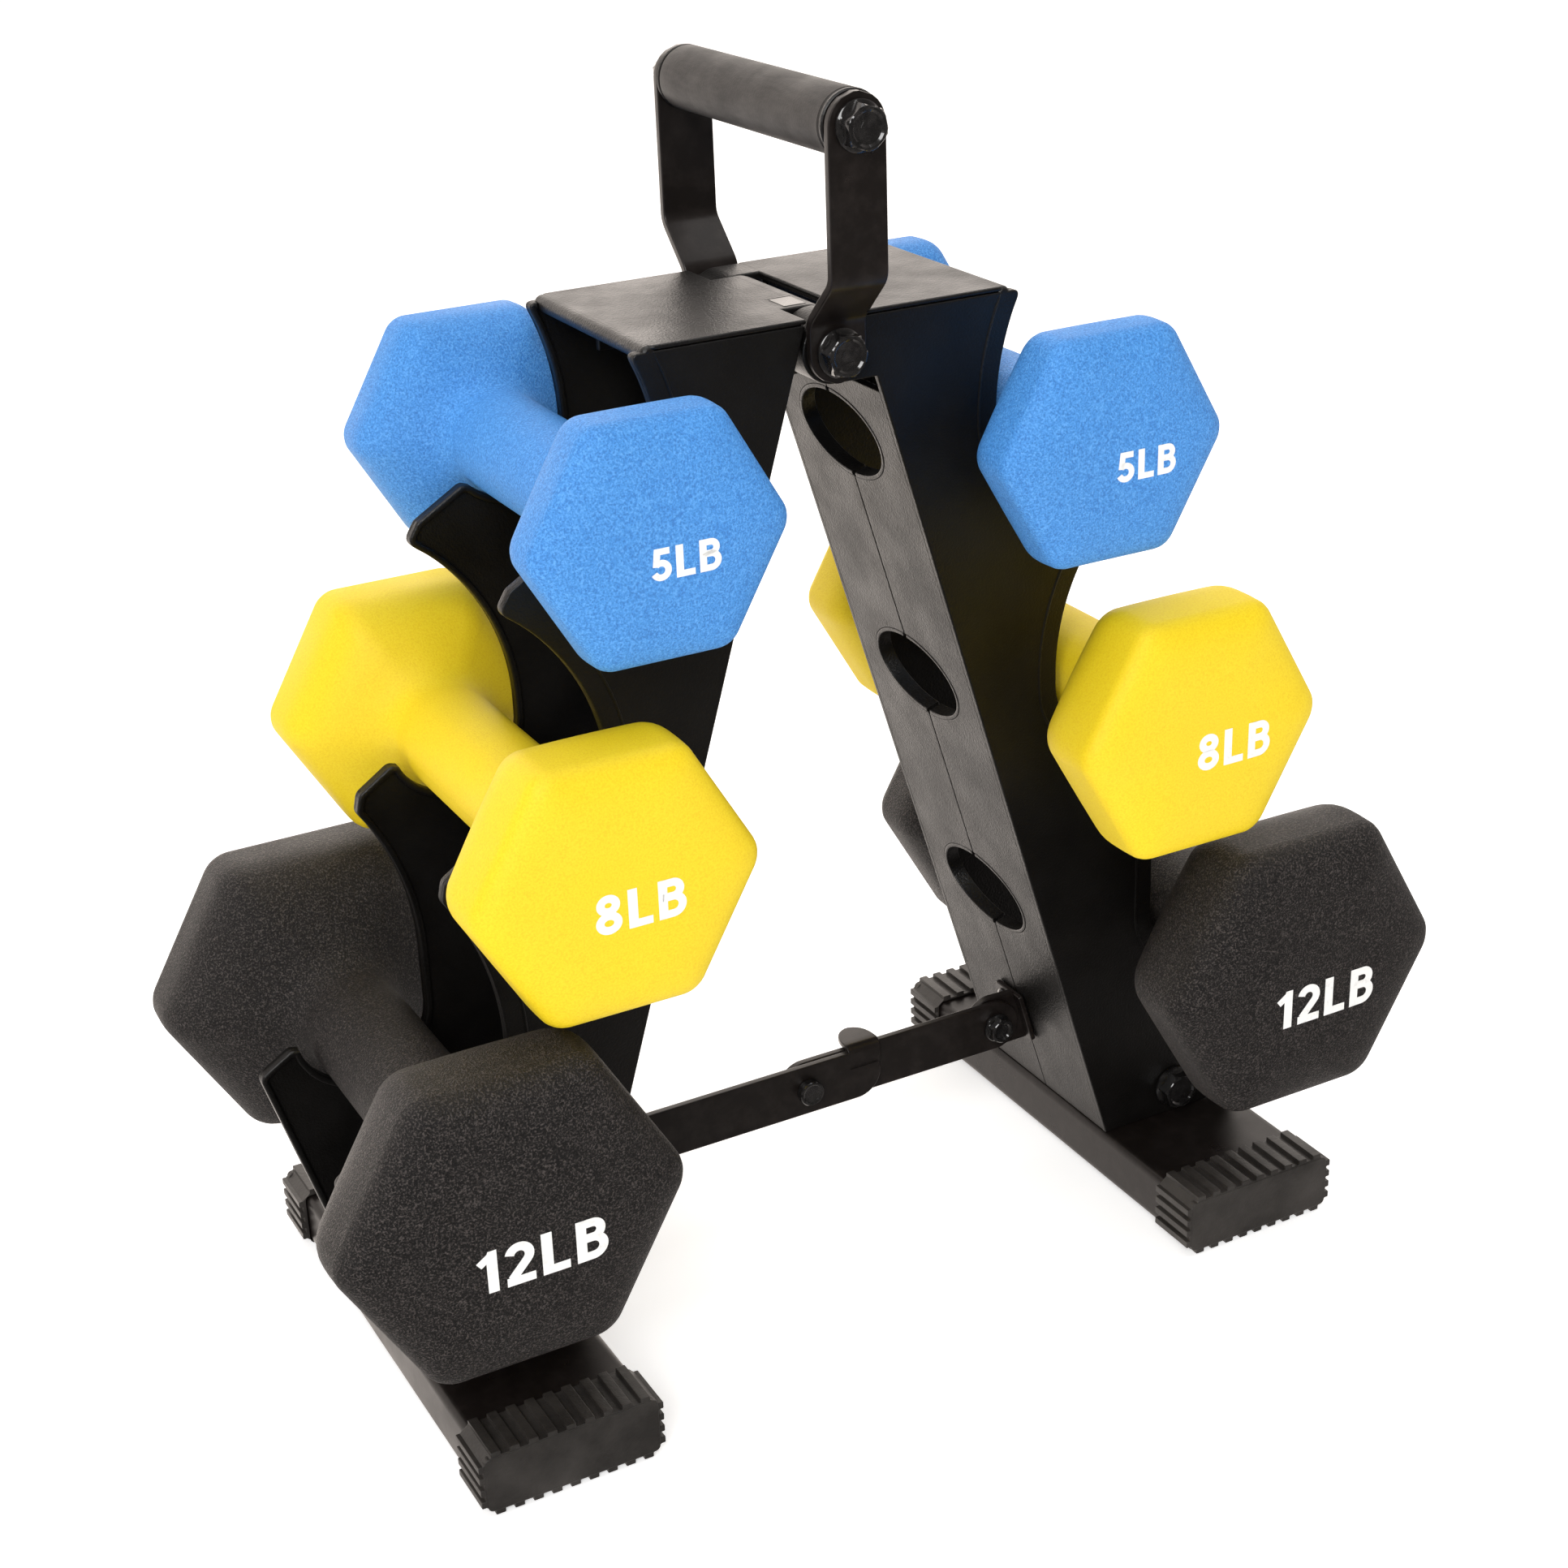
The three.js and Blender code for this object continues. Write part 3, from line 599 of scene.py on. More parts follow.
def leg_head(knuckles, webs, knuckle_end):
    """Top plate with a rolled outer lip, hinge knuckles and the webs below."""
    inner, outer = inner_x(TOP_Z), TOP_OUTER_X - 1.2
    outline = rounded([(inner, -HALF_WIDTH, 1), (outer, -HALF_WIDTH, 3), (outer, HALF_WIDTH, 3),
                       (inner, HALF_WIDTH, 1)])
    skin = EDGE_PLATE - 0.15
    meshes = [placed(plate([outline], skin, 0.75, 3), z=TOP_Z - skin / 2)]
    inside = HALF_WIDTH - WALL - GAP
    meshes.append(block(inner + 0.3, TOP_OUTER_X - 3, -inside, inside, TOP_Z - 2.6, TOP_Z - 1, 0.3))
    lip_r = 2.75
    ends = [(0.05, 1.2), (0.3, 1.9), (0.9, 2.5), (1.7, lip_r)]
    profile = [(-HALF_WIDTH + y, r) for y, r in ends] + [(HALF_WIDTH - y, r) for y, r in reversed(ends)]
    meshes.append(turned(profile, TOP_OUTER_X + 1.2 - lip_r, TOP_Z - lip_r - 0.05, 48))
    for y0, y1 in knuckles:
        y0, y1 = max(y0, -knuckle_end), min(y1, knuckle_end)
        meshes.append(knuckle(y0, y1))
        meshes.append(block(0, inner + 1.5, y0, y1, HINGE.z - KNUCKLE_R + 0.2, TOP_Z - 0.05))
    for y0, y1 in webs:
        meshes.append(block(*WEB_X, y0, y1, TOP_Z - WEB_DEPTH, TOP_Z - 1, 0.4))
    return joined(meshes)


def hinge_insert():
    """The small smooth tile set in the top of the middle knuckle, near its front, and the line behind it."""
    bottom = TOP_Z - 1.2
    tile = block(-7.2, 1.0, -22.4, -11.5, bottom, TOP_Z + 0.12, 0.35)
    line = block(-7.6, 1.6, -10.6, -9.9, bottom, TOP_Z + 0.05, 0.15)
    return joined([tile, line])


# ---- feet ----
def ribbed_outline(x0, x1, z1, top_ribs, side_ribs, depth=1.5, corner=3):
    """The outline of a foot cap: soft ribs all round."""
    corners = []

    def run(start, end, count, fill):
        a, b = Vector(start), Vector(end)
        along = (b - a) / count
        inward = Vector((-along.y, along.x)).normalized() * depth
        for i in range(count):
            near = a + along * (i + 0.5 - fill / 2)
            far = a + along * (i + 0.5 + fill / 2)
            corners.extend([(*(near + inward), 0.2), (*near, 0.35), (*far, 0.35), (*(far + inward), 0.2)])

    run((x0 + corner, 0), (x1 - corner, 0), top_ribs, 0.52)
    run((x1, corner), (x1, z1 - corner), side_ribs, 0.55)
    run((x1 - corner, z1), (x0 + corner, z1), top_ribs, 0.52)
    run((x0, z1 - corner), (x0, corner), side_ribs, 0.55)
    return rounded(corners, 2)


def foot_cap(node):
    """A ribbed cap: a sleeve round the end of the foot tube, closed by a lid with a flat pad."""
    low, high = lows(node), highs(node)
    outward = 1 if high.y > 0 else -1
    outline = ribbed_outline(low.x, high.x, high.z, top_ribs=9, side_ribs=4)
    tube = node.split("_")[0] + "_foot_tube"
    inner, outer = lows(tube), highs(tube)
    socket = rectangle(inner.x - GAP, outer.x + GAP, inner.z - GAP, outer.z + GAP, 2.5)
    start, end = (low.y, high.y) if outward > 0 else (high.y, low.y)
    lid_y = end - outward * WALL
    sleeve = standing([outline, socket], start, lid_y + outward * 0.5, 0.2, 1)
    lid = standing([outline], lid_y, end - outward * 0.25, 0.3)
    pad = standing([rectangle(low.x + 2, high.x - 2, 1.9, high.z - 1.9, 2.5)], lid_y, end, 0.3)
    return joined([sleeve, lid, pad])


def foot_tube(node):
    """The open rectangular tube under a leg."""
    low, high = lows(node), highs(node)
    wall = 1.5
    outer = rectangle(low.x, high.x, low.z, high.z, 3.2)
    inner = rectangle(low.x + wall, high.x - wall, low.z + wall, high.z - wall, 2)
    return standing([outer, inner], low.y, high.y, 0.2, 1)


# ---- fasteners ----
def hex_radius(angle, flat):
    """Distance from the middle of a hexagon to its edge at an angle."""
    step = math.radians(60)
    return flat / 2 / math.cos((angle + step / 2) % step - step / 2)


def flange_head(x, z, seat, side, size, turn):
    """A chamfered hex head with a washer face, on a seat plane across Y."""
    flat, flange, height = size["flat"], size["flange"], size["height"]
    apothem = flat / 2
    top = GAP + height
    # Each level: its distance from the seat, its radius, and whether the hexagon cuts into it.
    levels = [(GAP, flange - 0.35, False), (GAP + 0.3, flange, False), (GAP + 1.1, flange, False),
              (GAP + 1.5, flange - 0.5, False), (GAP + 1.75, flat, True), (top - 1, flat, True),
              (top - 0.3, apothem + 0.25, True), (top, apothem - 0.25, False), (top, apothem - 1, False),
              (top - 0.6, apothem - 1.7, False), (top - 0.65, 0.6, False)]
    rings = []
    for out, limit, hexed in levels:
        ring = []
        for angle in turns(72):
            radius = min(hex_radius(angle, flat), limit) if hexed else limit
            ring.append((x + radius * math.cos(angle + turn), seat + side * out,
                         z + radius * math.sin(angle + turn)))
        rings.append(ring)
    meshes = [swept(rings)]
    for third in turns(3):
        angle = turn + third + math.radians(20)
        tick = block(-0.18, 0.18, -1.0, 1.0, 0, 0.25, 0.06)
        spin = Matrix.Rotation(-angle, 4, "Y")
        place = Vector((x + 2.2 * math.cos(angle), seat + side * (top - 0.6), z + 2.2 * math.sin(angle)))
        tick.transform(Matrix.Translation(place * MM) @ spin @ Matrix.Rotation(math.radians(90), 4, "X"))
        meshes.append(tick)
    return meshes


def bolt(node, x, z, seat, side, size, turn=0.35):
    """A bolt along Y, with its head on the seat and its tail where the CAD bolt ends."""
    shank_r = size["shank"]
    tail = highs(node).y if side < 0 else lows(node).y
    near = seat + side * (GAP + 0.2)
    point = tail + side * 0.8
    profile = [(near, shank_r), (point, shank_r), (tail, shank_r - 0.8)]
    return joined([*flange_head(x, z, seat, side, size, turn), turned(profile, x, z, 32)])


def nut(node, size):
    """A chamfered hex nut in the place of the CAD one."""
    low, high = lows(node), highs(node)
    middle = (low + high) / 2
    flat, chamfer = size["flat"], 0.6
    chamfered = flat * 0.46 + 0.5
    rings = []
    levels = ((low.y, chamfered), (low.y + chamfer, flat), (high.y - chamfer, flat), (high.y, chamfered))
    for y, limit in levels:
        ring = []
        for angle in turns(48):
            radius = min(hex_radius(angle + math.radians(30), flat), limit)
            ring.append((middle.x + radius * math.cos(angle), y, middle.z + radius * math.sin(angle)))
        rings.append(ring)
    return swept(rings)


# ---- spreader ----
def link_plate(tail, y0):
    """The left spreader bar: from its pivot to the middle of the rack, and past it by its tail."""
    end = PIVOT[0] + tail
    outline = arc(0, 0, LINK_HALF, 90, 270, 20) + arc(end - LINK_HALF, 0, LINK_HALF, -90, 90, 20)
    loops = [outline] + [arc(x, 0, LINK_HOLE_R, 0, 345, 23) for x in (0, PIVOT[0])]
    mesh = standing(loops, y0, y0 + LINK_THICK, 0.5)
    return placed(mesh, x=-PIVOT[0], z=PIVOT[1])


def thumb_tab():
    """The tongue of the front link, bent back over the top edge of the rear one."""
    low, high = lows("left_spreader_link"), highs("left_spreader_link")
    top = PIVOT[1] + LINK_HALF
    thick = 1.9
    front = low.y + thick / 2
    centre_z = top + GAP + thick / 2
    bend = 2.2
    path = [(front, top - 7), (front, centre_z - bend)]
    path += [(front + bend - bend * math.cos(a), centre_z - bend + bend * math.sin(a))
             for a in (math.radians(22.5 * k) for k in range(1, 5))]
    path += [(front + bend + (high.y - front - bend) * t, centre_z)
             for t in (0.2, 0.4, 0.6, 0.75, 0.86, 0.94, 0.98, 1)]
    middle = 24.2
    rings = []
    for i, (y, z) in enumerate(path):
        along = direction(path, i)
        share = max(0, (y - front - bend) / (high.y - front - bend))
        half = 6.9 * math.sqrt(max(0.03, 1 - share ** 2.6))
        section = rectangle(-half, half, -thick / 2, thick / 2, 0.5, 3)
        rings.append([(middle + px, y - along.y * pn, z + along.x * pn) for px, pn in section])
    return swept(rings)


def spreader_bracket():
    """The right bracket: a foot on the slanted wall, and an ear round the link's pivot."""
    low, high = lows("right_spreader_bracket"), highs("right_spreader_bracket")
    centre = (INNER_TOP[1] - PIVOT[1]) / math.cos(LEAN)
    foot = plate([rectangle(low.y, high.y, centre - BRACKET_HALF, centre + BRACKET_HALF, 1.5)],
                 BRACKET_THICK, 0.45)
    placed(foot, z=GAP + BRACKET_THICK / 2)
    foot.transform(panel_frame())
    reach = BRACKET_HALF - GAP
    root = [(inner_x(z) - 1.5, z) for z in (PIVOT[1] - reach, PIVOT[1] + reach)]
    outline = rounded([(*root[0], 0), (*root[1], 1), *arc(*PIVOT, BRACKET_HALF, 90, 270, 24)])
    ear = standing([outline], *EAR_Y, 0.45)
    return joined([foot, ear])


def bracket_screw(node):
    """A domed screw head, square to the slanted wall."""
    low, high = lows(node), highs(node)
    rings = []
    for out, radius in ((-0.8, 2.65), (-0.55, 2.7), (0.1, 2.5), (0.55, 1.95), (0.75, 1.1), (0.8, 0.3)):
        rings.append([(-out, radius * math.cos(a), radius * math.sin(a)) for a in turns(32)])
    mesh = swept(rings)
    centre = (low + high) / 2
    mesh.transform(Matrix.Translation(Vector((abs(centre.x), centre.y, centre.z)) * MM)
                   @ Matrix.Rotation(-LEAN, 4, "Y"))
    return mesh


# ---- handle ----
def strap(node, side):
    """A bent flat bar with rounded ends, swept along its folded centre line."""
    low, high = lows(node), highs(node)
    half = (high.x - low.x) / 2
    near = min(abs(low.y), abs(high.y)) + STRAP_THICK / 2
    far = max(abs(low.y), abs(high.y)) - STRAP_THICK / 2
    corners = [(near, low.z), (near, STRAP_BENDS_Z[0], 7), (far, STRAP_BENDS_Z[1], 7), (far, high.z)]
    path = []
    for i, corner in enumerate(corners):
        here = Vector(corner[:2])
        if len(corner) == 2:
            path.append(here)
            continue
        before = (Vector(corners[i - 1][:2]) - here).normalized() * corner[2] * 0.42
        after = (Vector(corners[i + 1][:2]) - here).normalized() * corner[2] * 0.42
        for k in range(6):
            t = k / 5
            path.append((here + before) * (1 - t) ** 2 + here * 2 * t * (1 - t) + (here + after) * t ** 2)
    dense = [path[0]]
    for a, b in zip(path, path[1:]):
        pieces = max(1, round((b - a).length / 1.6))
        dense += [a.lerp(b, (k + 1) / pieces) for k in range(pieces)]
    travelled = [0]
    for a, b in zip(dense, dense[1:]):
        travelled.append(travelled[-1] + (b - a).length)
    total = travelled[-1]
    rings = []
    for i, (here, s) in enumerate(zip(dense, travelled)):
        along = direction(dense, i)
        from_end = min(s, total - s)
        width = half if from_end > half else math.sqrt(max(half ** 2 - (half - from_end) ** 2, 1.2))
        section = rectangle(-width, width, -STRAP_THICK / 2, STRAP_THICK / 2, 0.6, 3)
        rings.append([(px, side * (here.x - along.y * pn), here.y + along.x * pn) for px, pn in section])
    return swept(rings)


def grip_sleeve():
    """The foam sleeve, with softly rounded ends."""
    low, high = lows("grip_sleeve"), highs("grip_sleeve")
    middle = (low + high) / 2
    radius = (high.x - low.x) / 2
    end = high.y - GRIP_RING
    profile = [(-end, radius - 3), (-end, radius - 0.9), (-end + 0.3, radius - 0.35),
               (-end + 1, radius - 0.1)]
    profile += [(-end + 1 + (2 * end - 2) * i / 24, radius) for i in range(25)]
    profile += [(end - 0.3, radius - 0.35), (end, radius - 0.9), (end, radius - 3)]
    return turned(profile, middle.x, middle.z, 96)


def grip_ring(side):
    """A dark moulded ring that closes one end of the sleeve."""
    low, high = lows("grip_sleeve"), highs("grip_sleeve")
    middle = (low + high) / 2
    radius = (high.x - low.x) / 2
    near, far = side * (high.y - GRIP_RING), side * high.y
    profile = [(near, radius - 2.5), (near, radius - 0.2), (near + side * 0.4, radius),
               (far - side * 0.5, radius), (far, radius - 0.5), (far, radius - 2.5)]
    return turned(profile, middle.x, middle.z, 96)


# ---- dumbbells ----
def hexagon_ring(half_flat, blend, per_corner=12, per_side=6):
    """A rounded hexagon with flat top and bottom, blended towards a circle of the same size."""
    round_r = half_flat * CORNER_SHARE
    core = (half_flat - round_r) / math.cos(math.pi / 6)
    hexagon = []
    for corner in range(6):
        middle = corner * math.pi / 3
        for k in range(per_corner):
            angle = middle + (k / (per_corner - 1) * 2 - 1) * math.pi / 6
            hexagon.append(Vector((core * math.cos(middle) + round_r * math.cos(angle),
                                   core * math.sin(middle) + round_r * math.sin(angle))))
        side_turn = middle + math.pi / 6
        following = middle + math.pi / 3
        start = hexagon[-1]
        end = Vector((core * math.cos(following) + round_r * math.cos(side_turn),
                      core * math.sin(following) + round_r * math.sin(side_turn)))
        hexagon += [start.lerp(end, k / per_side) for k in range(1, per_side)]
    return [p.lerp(p.normalized() * half_flat, blend) for p in hexagon]


def bezier(a, b, c, d, t):
    """A cubic curve's value at t."""
    return a * (1 - t) ** 3 + b * 3 * t * (1 - t) ** 2 + c * 3 * t * t * (1 - t) + d * t ** 3


def dumbbell_mesh(shape, x, z):
    """One dumbbell along Y: pillowed faces, and shoulders that run smoothly into the handle."""
    full, face, handle = shape["flat"] / 2, shape["face"], shape["handle"]
    roll = shape["flat"] * FACE_EDGE
    sections = []
    # The pillowed face, from its middle out to the widest hexagon.
    for size in (0.04, 0.15, 0.3, 0.42, 0.54, 0.64, 0.73, 0.8, 0.86, 0.91, 0.945, 0.97, 0.985, 0.995, 1):
        sections.append((face - roll * (1 - (1 - size ** 4.2) ** (1 / 4.2)), hexagon_ring(full * size, 0)))
    # The shoulder, from the widest hexagon down to the round handle.
    back_start = face - max(shape["head"] * 0.55, roll + 1)
    back_end = face - shape["head"] - shape["neck"]
    for k in range(25):
        depth = bezier(0, 0.68, 0.55, 1, k / 24)
        size = bezier(1, 1, 0, 0, k / 24)
        y = back_start + (back_end - back_start) * depth
        blend = min(1, (1 - size) * 1.12) ** 1.15
        sections.append((y, hexagon_ring(handle + (full - handle) * size, blend)))
    for k in range(1, 7):
        sections.append((back_end * (1 - k / 7), hexagon_ring(handle, 1)))
    whole = sections + [(-y, ring) for y, ring in reversed(sections)]
    return swept([[(x + p.x, y, z + p.y) for p in ring] for y, ring in whole])


# ---- weight marks: bold figures drawn on a square of height 1 ----
STROKE = 0.2


def stroke(path, width=STROKE):
    """The outline of a stroke along a path, with square ends."""
    left, right = [], []
    for i, point in enumerate(path):
        here = Vector(point)
        before = (here - Vector(path[max(i - 1, 0)])).normalized()
        after = (Vector(path[min(i + 1, len(path) - 1)]) - here).normalized()
        along = (before + after).normalized()
        normal = Vector((-along.y, along.x))
        straight = after if after.length > 0 else before
        reach = width / 2 / max(0.6, normal.dot(Vector((-straight.y, straight.x))))
        left.append(tuple(here + normal * reach))
        right.append(tuple(here - normal * reach))
    return [left + right[::-1]]


def loop(x, z, half_x, half_z):
    """An oval ring round (x, z), as an outline and its hole."""
    return [[(x + (half_x + grow) * math.cos(a), z + (half_z + grow) * math.sin(a)) for a in turns(40)]
            for grow in (STROKE / 2, -STROKE / 2)]


def bowl(x, z, radius, start, end):
    """The path of a figure's round part."""
    return arc(x, z, radius, start, end, 18)


# Each figure: its width and its strokes, each an outline and any hole.
FIGURES = {
    "1": (0.40, [[[(0.18, 0), (0.4, 0), (0.4, 1), (0.22, 1), (0.18, 0.9)]],
                 stroke([(0.31, 0.92), (0.02, 0.71)], 0.17)]),
    "2": (0.62, [stroke(bowl(0.31, 0.69, 0.21, 168, -42) + [(0.13, 0.16)]),
                 [[(0.02, 0), (0.62, 0), (0.62, 0.2), (0.02, 0.2)]]]),
    "5": (0.62, [stroke([(0.58, 0.9), (0.2, 0.9), (0.15, 0.44)]),
                 stroke(bowl(0.3, 0.325, 0.225, 130, -158))]),
    "8": (0.64, [loop(0.32, 0.28, 0.215, 0.185), loop(0.32, 0.74, 0.185, 0.165)]),
    "L": (0.58, [[[(0, 0), (0.58, 0), (0.58, 0.2), (0.23, 0.2), (0.23, 1), (0, 1)]]]),
    "B": (0.66, [[[(0, 0), (0.22, 0), (0.22, 1), (0, 1)]],
                 stroke([(0.1, 0.9), (0.34, 0.9)] + bowl(0.36, 0.725, 0.175, 90, -90) + [(0.1, 0.55)]),
                 stroke([(0.1, 0.54), (0.34, 0.54)] + bowl(0.36, 0.32, 0.22, 90, -90) + [(0.1, 0.1)])]),
}


def weight_mark(name, text, x, z, size, side, weight, body, slot):
    """A painted weight, laid on the pillowed face of its dumbbell."""
    spacing, stretch, thickness, far_out = 0.15, 1.06, 0.2, 300
    total = sum(FIGURES[c][0] for c in text) + spacing * (len(text) - 1)
    meshes = []
    start = -total / 2
    for character in text:
        width, strokes = FIGURES[character]
        for loops in strokes:
            scaled = [[((px + start) * size * stretch, (pz - 0.5) * size) for px, pz in outline]
                      for outline in loops]
            meshes.append(plate(scaled, thickness, 0.03, 1))
        start += width + spacing
    mesh = joined(meshes)
    solid = bmesh.new()
    solid.from_mesh(weight.data)
    surface = BVHTree.FromBMesh(solid)
    solid.free()
    for vertex in mesh.vertices:
        across, up, out = vertex.co / MM
        where = Vector((x - side * across, side * far_out, z + up)) * MM
        hit = surface.ray_cast(where, Vector((0, -side, 0)))[0]
        vertex.co = (where.x, hit.y + side * out * MM, where.z)
    piece(name, tidy(mesh), slot, body, (), WHITE_PAINT)


# ---- assembly ----
def build_legs():
    lower, upper = KNUCKLE_SPLIT_Y, KNUCKLE_SPLIT_Y + WALL
    outer_knuckles = ((-HALF_WIDTH, -lower), (lower, HALF_WIDTH))
    inner = KNUCKLE_SPLIT_Y - GAP
    right_head = leg_head(outer_knuckles, ((-upper, -lower), (lower, upper)), HALF_WIDTH - 0.5)
    left_head = leg_head(((-inner, inner),), ((-inner, WALL - inner), (inner - WALL, inner)), inner)
    heads = {"right": right_head, "left": mirrored(left_head)}
    piece("hinge_insert", hinge_insert(), "leg_plastic", "left_leg", ["left_leg_head"], MATERIALS["insert"])
    for name, sign in (("left", -1), ("right", 1)):
        body = name + "_leg"
        flip = mirrored if name == "left" else (lambda mesh: mesh)
        piece(f"{name}_head_plate", heads[name], "leg_plastic", body, [f"{name}_leg_head"])
        for end, side in ENDS:
            shell = flip(leg_shell(side, name == "right"))
            piece(f"{name}_{end}_shell", shell, "leg_plastic", body, [f"{name}_leg_{end}_shell"])
            cap = f"{name}_foot_cap_{end}"
            piece(f"{name}_{end}_ribbed_cap", foot_cap(cap), "foot_cap", body, [cap])
            node = f"{name}_foot_bolt_{end}"
            mesh = bolt(node, sign * FOOT_BOLT[0], FOOT_BOLT[1], side * HALF_WIDTH, side, M8)
            piece(f"{name}_{end}_foot_bolt", mesh, "fastener", body, [node])
            node = f"{name}_foot_nut_{end}"
            piece(f"{name}_{end}_foot_nut", nut(node, M8), "fastener", body, [node])
        tube = f"{name}_foot_tube"
        piece(f"{name}_foot_bar", foot_tube(tube), "coated_steel", body, [tube])
        node = f"{name}_spreader_bracket"
        piece(f"{name}_link_bracket", flip(spreader_bracket()), "coated_steel", body, [node])
        for level in ("upper", "lower"):
            node = f"{name}_bracket_screw_{level}"
            piece(f"{name}_{level}_screw", flip(bracket_screw(node)), "fastener", body, [node])
        node = f"{name}_pivot_bolt"
        seat = lows(f"{name}_spreader_link").y
        mesh = bolt(node, sign * PIVOT[0], PIVOT[1], seat, -1, M6, 0.1)
        piece(f"{name}_link_bolt", mesh, "fastener", body, [node])
        node = f"{name}_pivot_nut"
        piece(f"{name}_link_nut", nut(node, M6), "fastener", body, [node])
    for end, side in ENDS:
        node = f"hinge_bolt_{end}"
        mesh = bolt(node, 0, HINGE.z, side * (HALF_WIDTH + GAP + STRAP_THICK), side, M8)
        piece(f"hinge_{end}_bolt", mesh, "fastener", "left_leg", [node])


def build_spreader():
    left = joined([link_plate(FRONT_LINK_TAIL, lows("left_spreader_link").y), thumb_tab()])
    piece("front_spreader_bar", left, "coated_steel", "left_link", ["left_spreader_link"])
    right = mirrored(link_plate(REAR_LINK_TAIL, lows("right_spreader_link").y))
    piece("rear_spreader_bar", right, "coated_steel", "right_link", ["right_spreader_link"])
    top, end = lows("spreader_rivet").y, highs("spreader_rivet").y
    profile = [(end, 2.8), (top + 3.2, 2.9), (top + 3.2, 4.9), (top + 0.5, 4.9), (top + 0.1, 4.6),
               (top, 4.2), (top + 0.1, 3.7), (top + 0.35, 3.4), (top + 0.35, 0.4)]
    head = turned(profile, 0, PIVOT[1], 48)
    piece("middle_rivet", head, "fastener", "left_link", ["spreader_rivet"])
    start, end = lows("spreader_rivet_tail").y, highs("spreader_rivet_tail").y
    profile = [(start, 2.8), (end - 2, 2.8), (end - 2, 5.1), (end - 1.2, 5.2), (end - 0.4, 4.2), (end, 2.2),
               (end, 0.4)]
    tail = turned(profile, 0, PIVOT[1], 48)
    piece("middle_rivet_tail", tail, "fastener", "right_link", ["spreader_rivet_tail"])


def build_handle():
    middle = (lows("grip_sleeve") + highs("grip_sleeve")) / 2
    for end, side in ENDS:
        node = f"handle_strap_{end}"
        piece(f"{end}_handle_strap", strap(node, side), "coated_steel", "handle", [node])
        seat = lows(node).y if side < 0 else highs(node).y
        node = f"grip_bolt_{end}"
        mesh = bolt(node, 0, middle.z, seat, side, M8, 0.2)
        piece(f"{end}_grip_bolt", mesh, "fastener", "handle", [node])
        ring = grip_ring(side)
        piece(f"{end}_grip_ring", ring, "grip", "handle", ["grip_sleeve"], MATERIALS["leg_plastic"])
    piece("hand_grip", grip_sleeve(), "grip", "handle", ["grip_sleeve"])


def build_dumbbells():
    for pounds, shape in DUMBBELLS.items():
        slot, mark = f"coat_{pounds}lb", MARKS[pounds]
        for name in ("left", "right"):
            node = f"{name}_dumbbell_{pounds}lb"
            body = f"{name}_dumbbell_{pounds}"
            middle = (lows(node) + highs(node)) / 2
            mesh = dumbbell_mesh(shape, middle.x, middle.z)
            weight = piece(f"{name}_{pounds}lb_weight", mesh, slot, body, [node], smooth_angle=60)
            for end, side in ENDS:
                weight_mark(f"{name}_{pounds}lb_{end}_mark", f"{pounds}LB", middle.x - side * mark[name],
                            middle.z + mark["z"], mark["size"], side, weight, body, slot)


def build_kept_nodes():
    """CAD nodes shown as they are, with the coated steel as their material."""
    for node in ("left_foot_bracket", "right_foot_bracket", "left_pivot_spacer", "hinge_tube",
                 "grip_core_tube"):
        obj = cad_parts[node]
        obj.data.materials.clear()
        obj.data.materials.append(MATERIALS["coated_steel"])


# ---- stage ----
def build_stage():
    """A pale floor just under the feet, a white backdrop and a studio world."""
    reach, level = 6000, -0.4
    corners = [(-reach, -reach, level), (reach, -reach, level), (reach, reach, level), (-reach, reach, level)]
    floor = added("floor", mesh_of(corners, [(0, 1, 2, 3)]))
    look = Look("pale_floor")
    preset(look.shader, Base_Color=(0.9, 0.9, 0.9, 1), Roughness=0.8, Specular_IOR_Level=0.1,
           Emission_Color=(1, 1, 1, 1), Emission_Strength=0.5)
    floor.data.materials.append(look.material)
    floor.visible_glossy = False
    build_backdrop()
    studio_world()
    bpy.context.scene.view_settings.view_transform = "Standard"


def build_backdrop():
    """A plain white dome behind everything, seen by the camera only."""
    radius, levels, around = 5900, 10, 48
    verts, faces = [], []
    for level in range(levels + 1):
        lift = math.pi / 2 * level / (levels + 0.2)
        for turn in turns(around):
            verts.append((radius * math.cos(lift) * math.cos(turn), radius * math.cos(lift) * math.sin(turn),
                          radius * math.sin(lift) - 0.3))
    for level in range(levels):
        for k in range(around):
            a, b = level * around + k, level * around + (k + 1) % around
            faces.append((a, b, b + around, a + around))
    faces.append(tuple(range(levels * around, (levels + 1) * around)))
    dome = added("backdrop", mesh_of(verts, faces))
    look = Look("white_backdrop")
    preset(look.shader, Base_Color=(0, 0, 0, 1), Emission_Color=(1, 1, 1, 1), Emission_Strength=1)
    dome.data.materials.append(look.material)
    dome.visible_glossy = False
    dome.visible_diffuse = False
    dome.visible_shadow = False


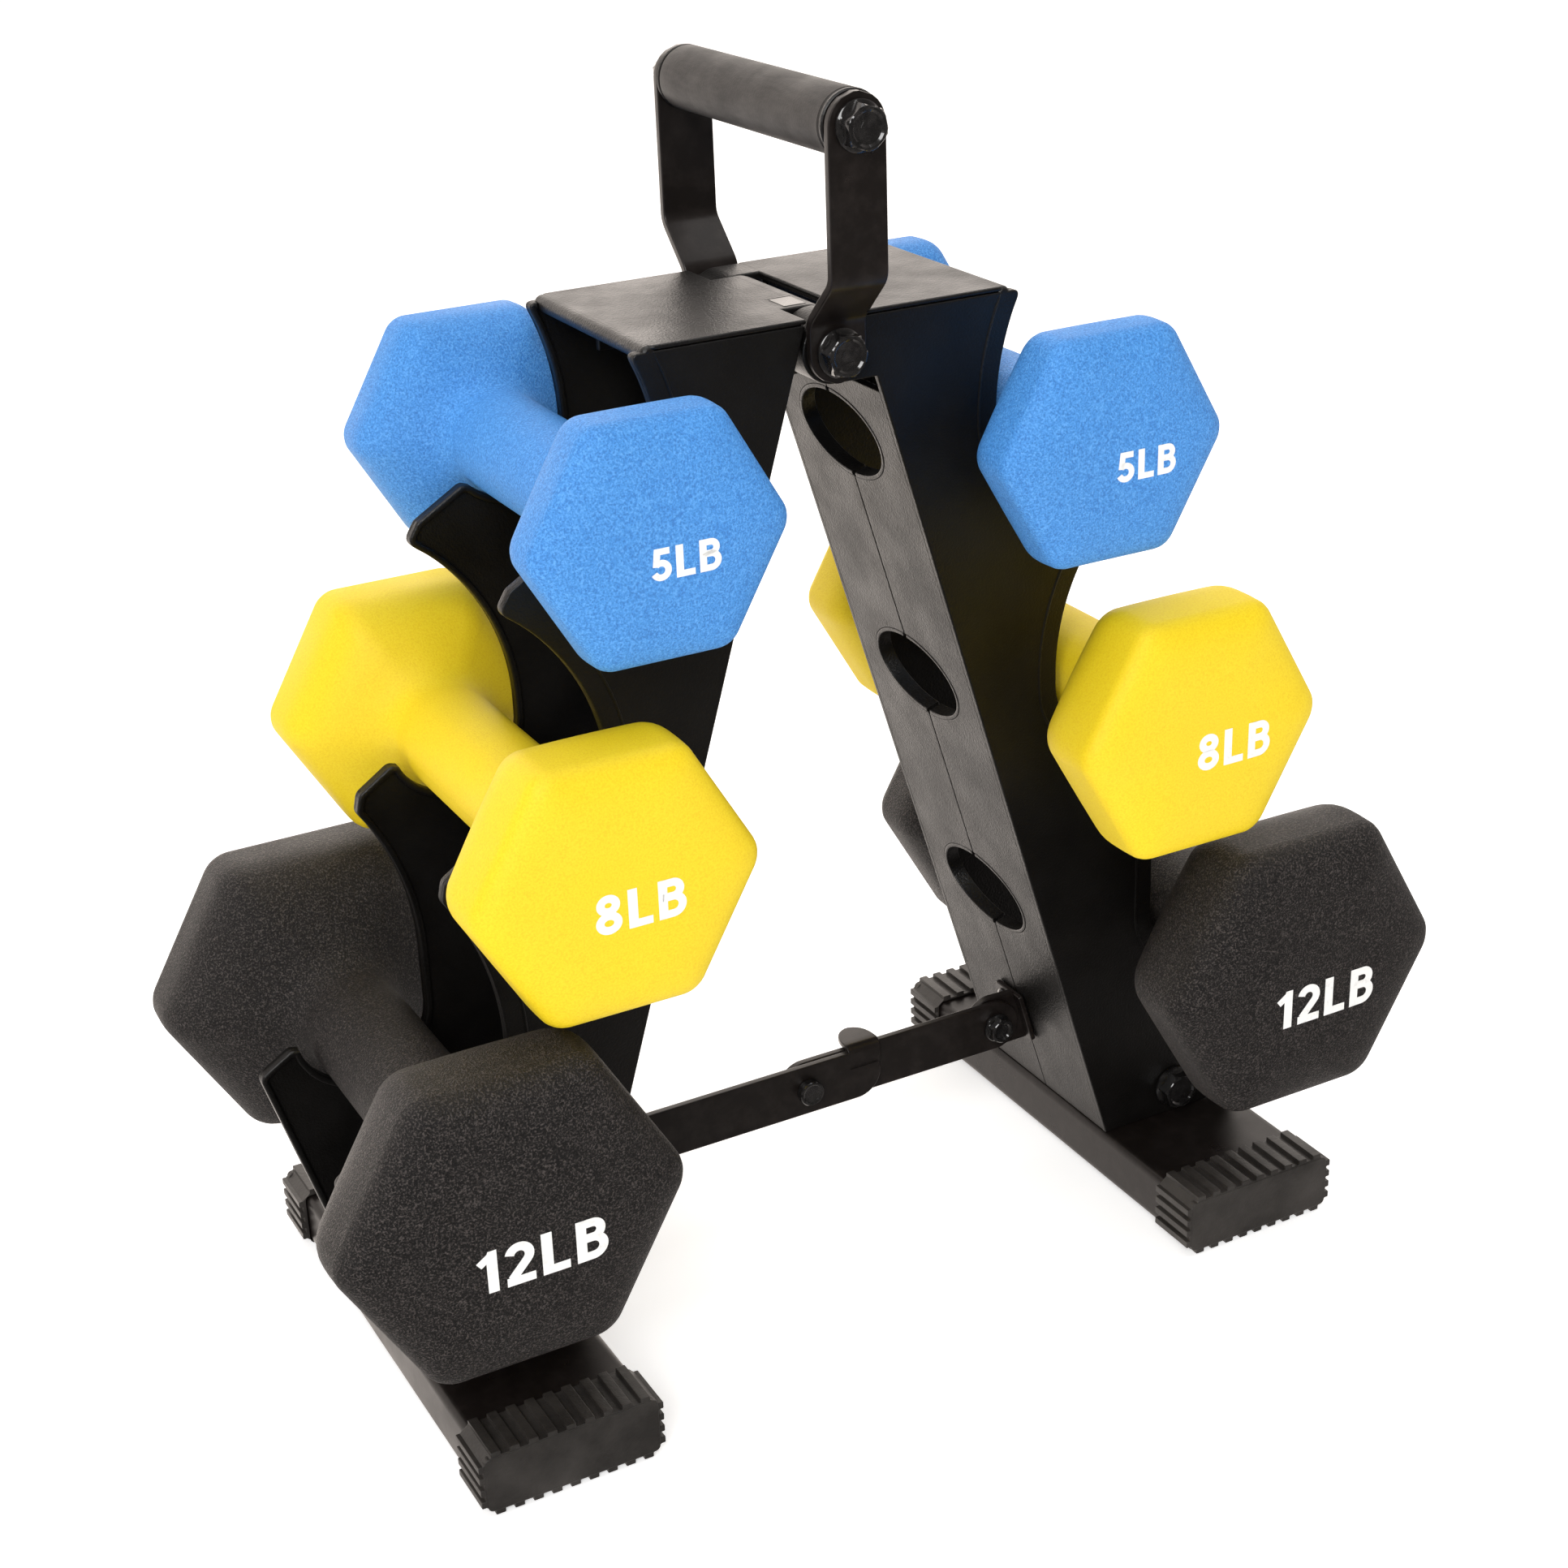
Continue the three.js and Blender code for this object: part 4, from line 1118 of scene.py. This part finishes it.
def studio_world():
    """A bright sweep behind the rack and a darker room in front of it."""
    world = bpy.data.worlds.new("studio")
    bpy.context.scene.world = world
    world.use_nodes = True
    tree = world.node_tree
    where = tree.nodes.new("ShaderNodeTexCoord")
    toward = tree.nodes.new("ShaderNodeVectorMath")
    toward.operation = "DOT_PRODUCT"
    toward.inputs[1].default_value = (0.1, 0.97, -0.1)
    tree.links.new(where.outputs["Generated"], toward.inputs[0])
    spot = tree.nodes.new("ShaderNodeMapRange")
    preset(spot, From_Min=-1)
    tree.links.new(toward.outputs["Value"], spot.inputs["Value"])
    colour = ramp(tree, spot.outputs["Result"],
                  ((0.12, (0.07, 0.065, 0.06)), (0.42, (0.22, 0.2, 0.19)), (0.62, (0.55, 0.51, 0.48)),
                   (0.88, (0.48, 0.44, 0.41)), (0.93, (1.55, 1.4, 1.28))))
    background = tree.nodes["Background"]
    preset(background, Strength=1.7)
    tree.links.new(colour, background.inputs["Color"])


def area_light(name, place, target, size, power, colour=(1, 1, 1)):
    """A softbox at a place in metres, turned towards its target."""
    light = bpy.data.lights.new(name, "AREA")
    light.shape = "RECTANGLE"
    light.size, light.size_y = size
    light.energy = power
    light.color = colour
    obj = added(name, light)
    obj.location = place
    obj.rotation_euler = (Vector(target) - Vector(place)).to_track_quat("-Z", "Y").to_euler()
    obj.visible_camera = False


def build_lights():
    """A key from the left front, a soft light overhead and a warm one from behind; in metres."""
    aim = (0, 0, 0.18)
    area_light("key_softbox", (-1.5, -2.1, 1.9), aim, (1.4, 1.4), 58)
    area_light("top_softbox", (0.1, 0.0, 2.2), aim, (1.6, 1.6), 16)
    area_light("back_softbox", (1.0, 1.9, 1.2), aim, (2.4, 1.4), 9, (1, 0.92, 0.85))


def build_camera():
    """The camera looks down at the rack from its left front corner, slightly rolled."""
    azimuth, elevation, roll = math.radians(27.69), math.radians(24.13), math.radians(-2.11)
    forward = Vector((math.sin(azimuth) * math.cos(elevation), math.cos(azimuth) * math.cos(elevation),
                      -math.sin(elevation)))
    right = forward.cross(Vector((0, 0, 1))).normalized()
    up = right.cross(forward)
    tilted_right = right * math.cos(roll) + up * math.sin(roll)
    tilted_up = up * math.cos(roll) - right * math.sin(roll)
    data = bpy.data.cameras.new("camera")
    data.sensor_width = 36
    data.lens = 59.02
    data.shift_x = -0.002
    data.shift_y = -0.009
    data.clip_start = 0.01
    data.clip_end = 50
    camera = added("camera", data)
    turn = Matrix((tilted_right, tilted_up, -forward)).transposed().to_4x4()
    camera.matrix_world = Matrix.Translation(Vector((-383.0, -729.1, 554.4)) * MM) @ turn
    bpy.context.scene.camera = camera


build_camera()
build_stage()
build_lights()
build_legs()
build_spreader()
build_handle()
build_dumbbells()
build_kept_nodes()
